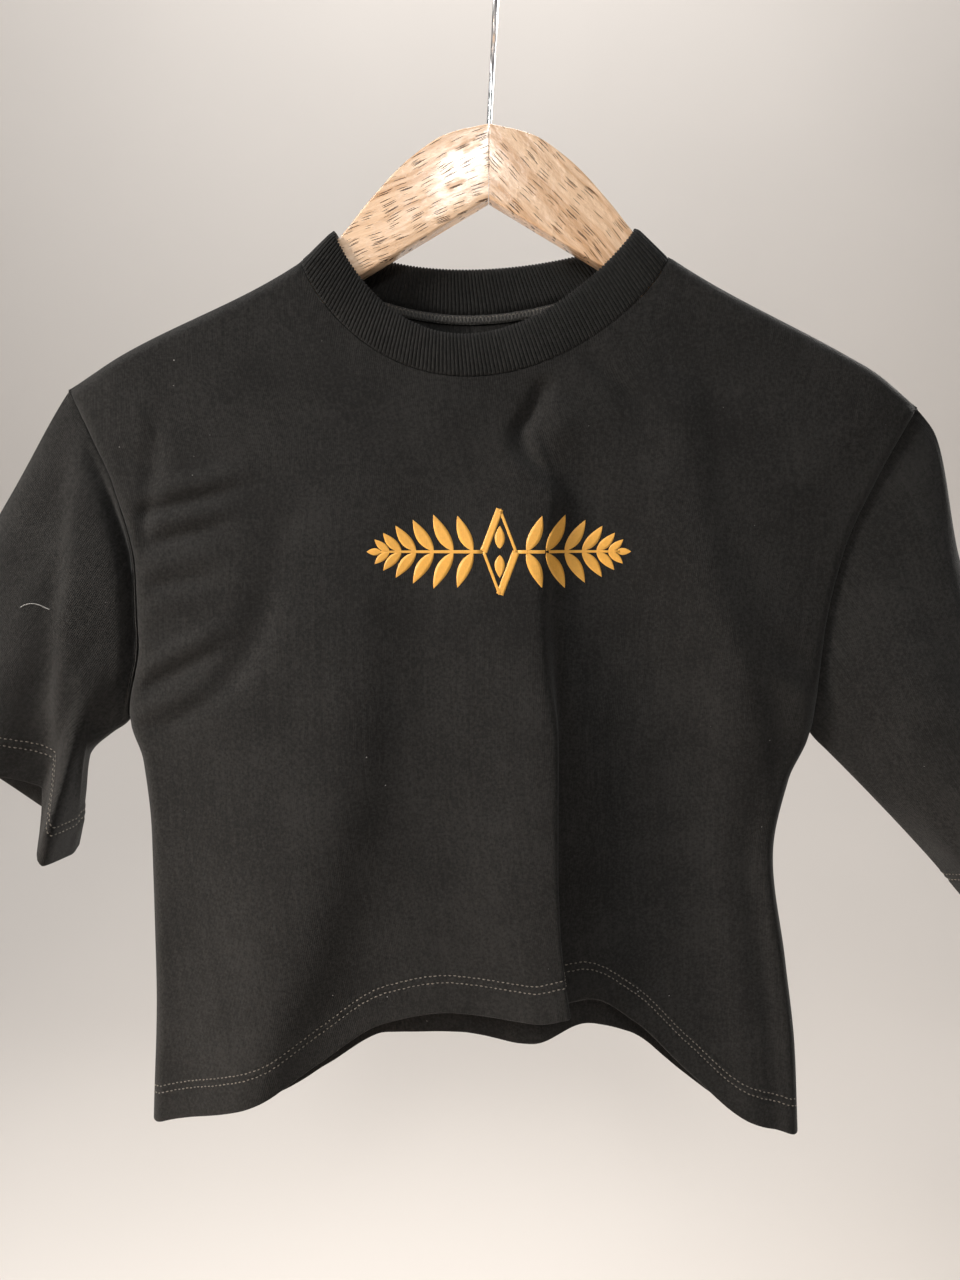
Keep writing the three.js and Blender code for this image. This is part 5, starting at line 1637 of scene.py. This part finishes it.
def stage_material(name, colour):
    """A plain matt surface whose tone changes slowly and slightly."""
    material, t, put = new_material(name)
    whole = t.node("TexCoord").outputs["Object"]
    tone = t.spread(t.noise(whole, 1.3, 2.0), 0.3, 0.7)
    put("Base Color", t.mix(tone, rgba(colour, 0.98), rgba(colour, 1.02)))
    put("Roughness", 0.9)
    return material


# ---------------------------------------------------------------- settings
def length_property(name, description, default):
    return FloatProperty(name=name, description=description, default=default, min=0.0, unit="LENGTH")


def power_property(name, description, default):
    return FloatProperty(name=name, description=description, default=default, unit="POWER")


def colour_property(name, description, default):
    return FloatVectorProperty(
        name=name, description=description, default=default, min=0.0, max=1.0, subtype="COLOR"
    )


class CropTopCloth(bpy.types.PropertyGroup):
    colour: colour_property("Cloth", "Colour of the knit", (0.0200, 0.0193, 0.0185))
    rib_colour: colour_property("Rib", "Colour of the neckband", (0.0172, 0.0168, 0.0162))
    wale: length_property("Wale", "Width of one upright line of stitches", WALE)
    course: length_property("Course", "Height of one row of stitches", COURSE)
    streaks: FloatProperty(name="Streaks", description="How much the yarn's shade varies", default=0.11)
    ribs: IntProperty(name="Ribs", description="Ribs around the neckband", default=206, min=40)
    rib_height: length_property("Rib height", "From a rib's crest to the valley beside it", 0.00075)


class CropTopSewing(bpy.types.PropertyGroup):
    colour: colour_property("Thread", "Colour of the hem thread", (0.17, 0.152, 0.128))
    overlock_colour: colour_property("Overlock", "Colour of the neck seam's threads", (0.07, 0.066, 0.06))
    edge_colour: colour_property(
        "Seam edge", "Colour of the cloth inside the neck seam's threads", (0.022, 0.021, 0.0195)
    )
    pitch: length_property("Pitch", "From one stitch to the next", 0.0026)
    stitch: length_property("Stitch", "Length of a stitch", 0.0016)
    thread: length_property("Thread size", "Width of a stitch", 0.0006)


class CropTopPrint(bpy.types.PropertyGroup):
    colour: colour_property("Print", "Colour of the printed ornament", (0.90, 0.46, 0.085))


class CropTopHanger(bpy.types.PropertyGroup):
    wood: colour_property("Wood", "Colour of the wood between its pores", (0.88, 0.615, 0.41))
    pores: colour_property("Pores", "Colour of the wood's pores", (0.11, 0.052, 0.026))
    gloss: FloatProperty(name="Gloss", description="Roughness of the lacquer", default=0.17, min=0.0, max=1.0)
    wire: colour_property("Wire", "Colour of the wire's plating", (0.80, 0.82, 0.86))
    wire_radius: length_property("Wire radius", "Half of the wire's thickness", 0.00125)


class CropTopStage(bpy.types.PropertyGroup):
    colour: colour_property("Backdrop", "Colour of the floor and the backdrop", (0.74, 0.70, 0.665))
    floor: FloatProperty(name="Floor", description="Height of the floor", default=-1.1, unit="LENGTH")
    behind: length_property("Distance", "From the top back to the backdrop", 2.0)
    key: power_property("Key", "Power of the light from the upper left", 4.7)
    low: power_property("Low", "Power of the warm light from below", 0.4)
    top: power_property("Top", "Power of the cool light from above", 7.0)
    glint: power_property("Glint", "Power of the light that the lacquer shows", 14.0)
    wall: power_property("Wall", "Power of the light on the backdrop", 56.0)
    rear: power_property("Rear", "Power of the soft light on the back", 5.0)
    sky: FloatProperty(name="Sky", description="Strength of the light from all round", default=0.14)


# ---------------------------------------------------------------- operators
CLOTH_SHEEN = 0.08
# how fine the fibres are that show: of sewing thread, of a raw edge of cloth and of a stray thread
THREAD_FINENESS, EDGE_FINENESS, LINT_FINENESS = 2500.0, 900.0, 3000.0


def finished(piece, material, slot, *replaced):
    """Gives a piece its material and ties it to the frame."""
    piece.data.materials.clear()
    piece.data.materials.append(material)
    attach(piece, "root")
    if replaced:
        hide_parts(*replaced)
    return piece


def shared_material(name, make):
    """The material of this name, made the first time that a piece asks for it."""
    return bpy.data.materials.get(name) or make(name)


def knit_material(scene):
    cloth = scene.crop_top_cloth
    yarn = dict(streaks=cloth.streaks, fineness=1500.0, lint=1.0, sheen=CLOTH_SHEEN)
    return shared_material(
        "black_knit", lambda name: cloth_material(name, cloth.colour, cloth.wale, cloth.course, **yarn)
    )


def rib_material(scene):
    cloth = scene.crop_top_cloth
    wale = RIB_PITCH * MM / 2
    yarn = dict(streaks=0.06, fineness=1300.0, lint=0.6, sheen=CLOTH_SHEEN)
    return shared_material(
        "black_rib", lambda name: cloth_material(name, cloth.rib_colour, wale, cloth.course, **yarn)
    )


def hem_thread(scene):
    colour = scene.crop_top_sewing.colour
    return shared_material("hem_thread", lambda name: thread_material(name, colour, THREAD_FINENESS))


class CROPTOP_OT_panels(bpy.types.Operator):
    """Build the front and the back with their turned hems, and sew the hems"""

    bl_idname = "crop_top.panels"
    bl_label = "Front and Back"

    def execute(self, context):
        scene = context.scene
        for side in ("front", "back"):
            panel = finished(panel_piece(side), knit_material(scene), "knit", f"{side}_panel")
            face, normals, _ = panel_face(side)
            seam = hem_stitches(f"hem_stitches_{side}", face, normals, len(BODY_ROWS), scene.crop_top_sewing)
            finished(seam, hem_thread(scene), "thread")
            if side == "front":
                colour = scene.crop_top_print.colour
                film = shared_material("gold_print", lambda name: print_material(name, colour))
                finished(print_piece(), film, "print")
        return {"FINISHED"}


class CROPTOP_OT_sleeves(bpy.types.Operator):
    """Build both sleeves with their turned hems, and sew the hems"""

    bl_idname = "crop_top.sleeves"
    bl_label = "Sleeves"

    def execute(self, context):
        scene = context.scene
        for name in ("left", "right"):
            sleeve = finished(sleeve_piece(name), knit_material(scene), "knit", f"sleeve_{name}")
            face, normals, _, _ = sleeve_face(name)
            title, sewing = f"hem_stitches_sleeve_{name}", scene.crop_top_sewing
            seam = hem_stitches(title, face, normals, len(SLEEVE_ROWS), sewing, closed=True)
            finished(seam, hem_thread(scene), "thread")
        return {"FINISHED"}


class CROPTOP_OT_neckband(bpy.types.Operator):
    """Build the ribbed neckband, and the overlocked seam that lies below it inside the back"""

    bl_idname = "crop_top.neckband"
    bl_label = "Neckband"

    def execute(self, context):
        scene = context.scene
        cloth, sewing = scene.crop_top_cloth, scene.crop_top_sewing
        band = band_piece(cloth.ribs, cloth.rib_height / MM)
        finished(band, rib_material(scene), "rib", "neck_band")
        overlock = shared_material(
            "overlock_thread", lambda name: thread_material(name, sewing.overlock_colour, THREAD_FINENESS)
        )
        bound = shared_material(
            "seam_edge", lambda name: thread_material(name, sewing.edge_colour, EDGE_FINENESS)
        )
        strip = finished(overlock_strip(), bound, "thread", "neck_seam_allowance")
        threads = finished(overlock_threads(sewing), overlock, "thread")
        needle = finished(overlock_needle(), hem_thread(scene), "thread")
        return {"FINISHED"}


# each arm: its side, its way out along X, the tilt of its grain in degrees and where its figure starts
HANGER_ARMS = (("left", -1, 22.0, (0.3, 0.1, 0.0)), ("right", 1, -45.0, (0.7, 0.3, 0.1)))


class CROPTOP_OT_hanger(bpy.types.Operator):
    """Build the two wooden arms and the wire hook"""

    bl_idname = "crop_top.hanger"
    bl_label = "Hanger"

    def execute(self, context):
        look = context.scene.crop_top_hanger
        for name, sign, tilt, centre in HANGER_ARMS:
            wood = shared_material(
                f"lacquered_wood_{name}",
                lambda title: wood_material(title, look.wood, look.pores, tilt, centre, look.gloss),
            )
            arm = arm_piece(f"wood_arm_{name}", sign, look.wire_radius)
            finished(arm, wood, "hanger_wood", f"hanger_arm_{name}")
        wire = shared_material("plated_wire", lambda title: wire_material(title, look.wire))
        finished(hook_piece("wire_hook", look.wire_radius), wire, "hook_wire", "hanger_hook")
        return {"FINISHED"}


class CROPTOP_OT_lint(bpy.types.Operator):
    """Lay a stray white thread on the left sleeve"""

    bl_idname = "crop_top.lint"
    bl_label = "Lint"

    def execute(self, context):
        white = shared_material(
            "lint_thread", lambda name: thread_material(name, STRAY_THREAD_COLOUR, LINT_FINENESS)
        )
        finished(lint_piece(), white, "thread")
        return {"FINISHED"}


CAMERA_PLACE = (-0.009, -0.526, -0.275)
CAMERA_DOWN = 6.56  # degrees below level that the camera looks
SENSOR_WIDTH, FOCAL_LENGTH = 36.0, 28.125  # millimetres
SWEEP_WIDTH, SWEEP_FRONT, SWEEP_RISE, SWEEP_RADIUS = 9.0, -4.0, 4.5, 0.9
# each lamp, named like the setting of its power: place, aim, size, spread in degrees, colour
LAMPS = (
    ("key", (-1.1, -0.5, 0.1), (-0.2, 0, -0.55), 0.24, 90, (1.0, 0.93, 0.85)),
    ("low", (-0.85, -0.36, -1.0), (-0.15, 0, -0.56), 0.26, 70, (1.0, 0.72, 0.5)),
    ("top", (-1.0, -0.7, 0.95), (0, 0, -0.28), 0.34, 180, (0.85, 0.93, 1.0)),
    ("glint", (-0.12, -2.3, 0.92), (-0.02, 0, -0.09), 0.34, 180, (1.0, 0.97, 0.93)),
    ("rear", (1.05, 0.8, 0.3), (0, 0, -0.36), 0.5, 80, (1.0, 0.96, 0.91)),
    ("wall", (0, 0.5, 2.3), (0, 2, -0.1), 1.5, 180, (1.0, 0.98, 0.96)),
)
SKY_COLOUR = (1.0, 0.96, 0.91, 1.0)


class CROPTOP_OT_stage(bpy.types.Operator):
    """Set up the camera, the lights and a plain pale floor that sweeps up behind"""

    bl_idname = "crop_top.stage"
    bl_label = "Stage"

    def execute(self, context):
        scene = context.scene
        look = scene.crop_top_stage
        camera = bpy.data.objects.new("camera", bpy.data.cameras.new("camera"))
        camera.location = CAMERA_PLACE
        camera.rotation_euler = (math.radians(90 - CAMERA_DOWN), 0, 0)
        camera.data.sensor_width = SENSOR_WIDTH
        camera.data.lens = FOCAL_LENGTH
        camera.data.clip_start = 0.02
        scene.collection.objects.link(camera)
        scene.camera = camera

        bpy.ops.object.select_all(action="DESELECT")
        bpy.ops.mesh.primitive_plane_add(size=1)
        sweep = context.object
        sweep.name = "floor_sweep"
        sweep.data.transform(Matrix.Diagonal((SWEEP_WIDTH, look.behind - SWEEP_FRONT, 1, 1)))
        sweep.data.transform(Matrix.Translation((0, (look.behind + SWEEP_FRONT) / 2, look.floor)))

        def at_back(a, b):
            return min(a.y, b.y) > look.behind - 0.01

        def at_floor(a, b):
            return max(a.z, b.z) < look.floor + 0.01

        def raise_back():
            bpy.ops.mesh.select_all(action="DESELECT")
            bpy.ops.mesh.select_mode(type="EDGE")
            select_edges(sweep, at_back)
            bpy.ops.mesh.extrude_region_move(TRANSFORM_OT_translate={"value": (0, 0, SWEEP_RISE)})
            bpy.ops.mesh.select_all(action="DESELECT")
            select_edges(sweep, lambda a, b: at_back(a, b) and at_floor(a, b))
            bpy.ops.mesh.bevel(offset=SWEEP_RADIUS, segments=24, profile=0.5)

        edit(sweep, raise_back)
        smooth_by_angle(sweep, 40)
        sweep.data.materials.append(stage_material("pale_backdrop", look.colour))

        for name, place, aim, size, fan, colour in LAMPS:
            lamp = bpy.data.lights.new(name, "AREA")
            lamp.shape = "SQUARE"
            lamp.size = size
            lamp.spread = math.radians(fan)
            lamp.energy = getattr(look, name)
            lamp.color = colour
            light = bpy.data.objects.new(name, lamp)
            light.location = place
            light.visible_camera = False
            light.rotation_euler = (Vector(aim) - Vector(place)).to_track_quat("-Z", "Y").to_euler()
            scene.collection.objects.link(light)
        world = bpy.data.worlds.new("soft_light")
        world.use_nodes = True
        background = world.node_tree.nodes["Background"]
        background.inputs["Color"].default_value = SKY_COLOUR
        background.inputs["Strength"].default_value = look.sky
        scene.world = world
        scene.view_settings.view_transform = "Standard"
        return {"FINISHED"}


def select_edges(piece, wanted):
    """Selects the edges whose two ends pass a test, in edit mode."""
    bpy.ops.object.mode_set(mode="OBJECT")
    points = piece.data.vertices
    for edge in piece.data.edges:
        edge.select = wanted(*(points[i].co for i in edge.vertices))
    bpy.ops.object.mode_set(mode="EDIT")


class CROPTOP_PT_panel(bpy.types.Panel):
    """The operators and their settings, in the 3D view's sidebar"""

    bl_label = "Crop Top"
    bl_space_type = "VIEW_3D"
    bl_region_type = "UI"
    bl_category = "Crop Top"

    def draw(self, context):
        column = self.layout.column(align=True)
        for operator in OPERATORS:
            column.operator(operator.bl_idname)
        for key, settings in SETTINGS.items():
            group = getattr(context.scene, key)
            box = self.layout.box()
            for name in settings.__annotations__:
                box.prop(group, name)


SETTINGS = {
    "crop_top_cloth": CropTopCloth,
    "crop_top_sewing": CropTopSewing,
    "crop_top_print": CropTopPrint,
    "crop_top_hanger": CropTopHanger,
    "crop_top_stage": CropTopStage,
}
OPERATORS = (
    CROPTOP_OT_stage,
    CROPTOP_OT_hanger,
    CROPTOP_OT_panels,
    CROPTOP_OT_sleeves,
    CROPTOP_OT_neckband,
    CROPTOP_OT_lint,
)
CLASSES = (*SETTINGS.values(), *OPERATORS, CROPTOP_PT_panel)


def register():
    for cls in CLASSES:
        bpy.utils.register_class(cls)
    for key, settings in SETTINGS.items():
        setattr(bpy.types.Scene, key, PointerProperty(type=settings))


def unregister():
    for key in SETTINGS:
        delattr(bpy.types.Scene, key)
    for cls in reversed(CLASSES):
        bpy.utils.unregister_class(cls)


def main():
    register()
    for operator in OPERATORS:
        space, name = operator.bl_idname.split(".")
        getattr(getattr(bpy.ops, space), name)()
    bpy.context.view_layer.update()


if __name__ == "__main__":
    main()
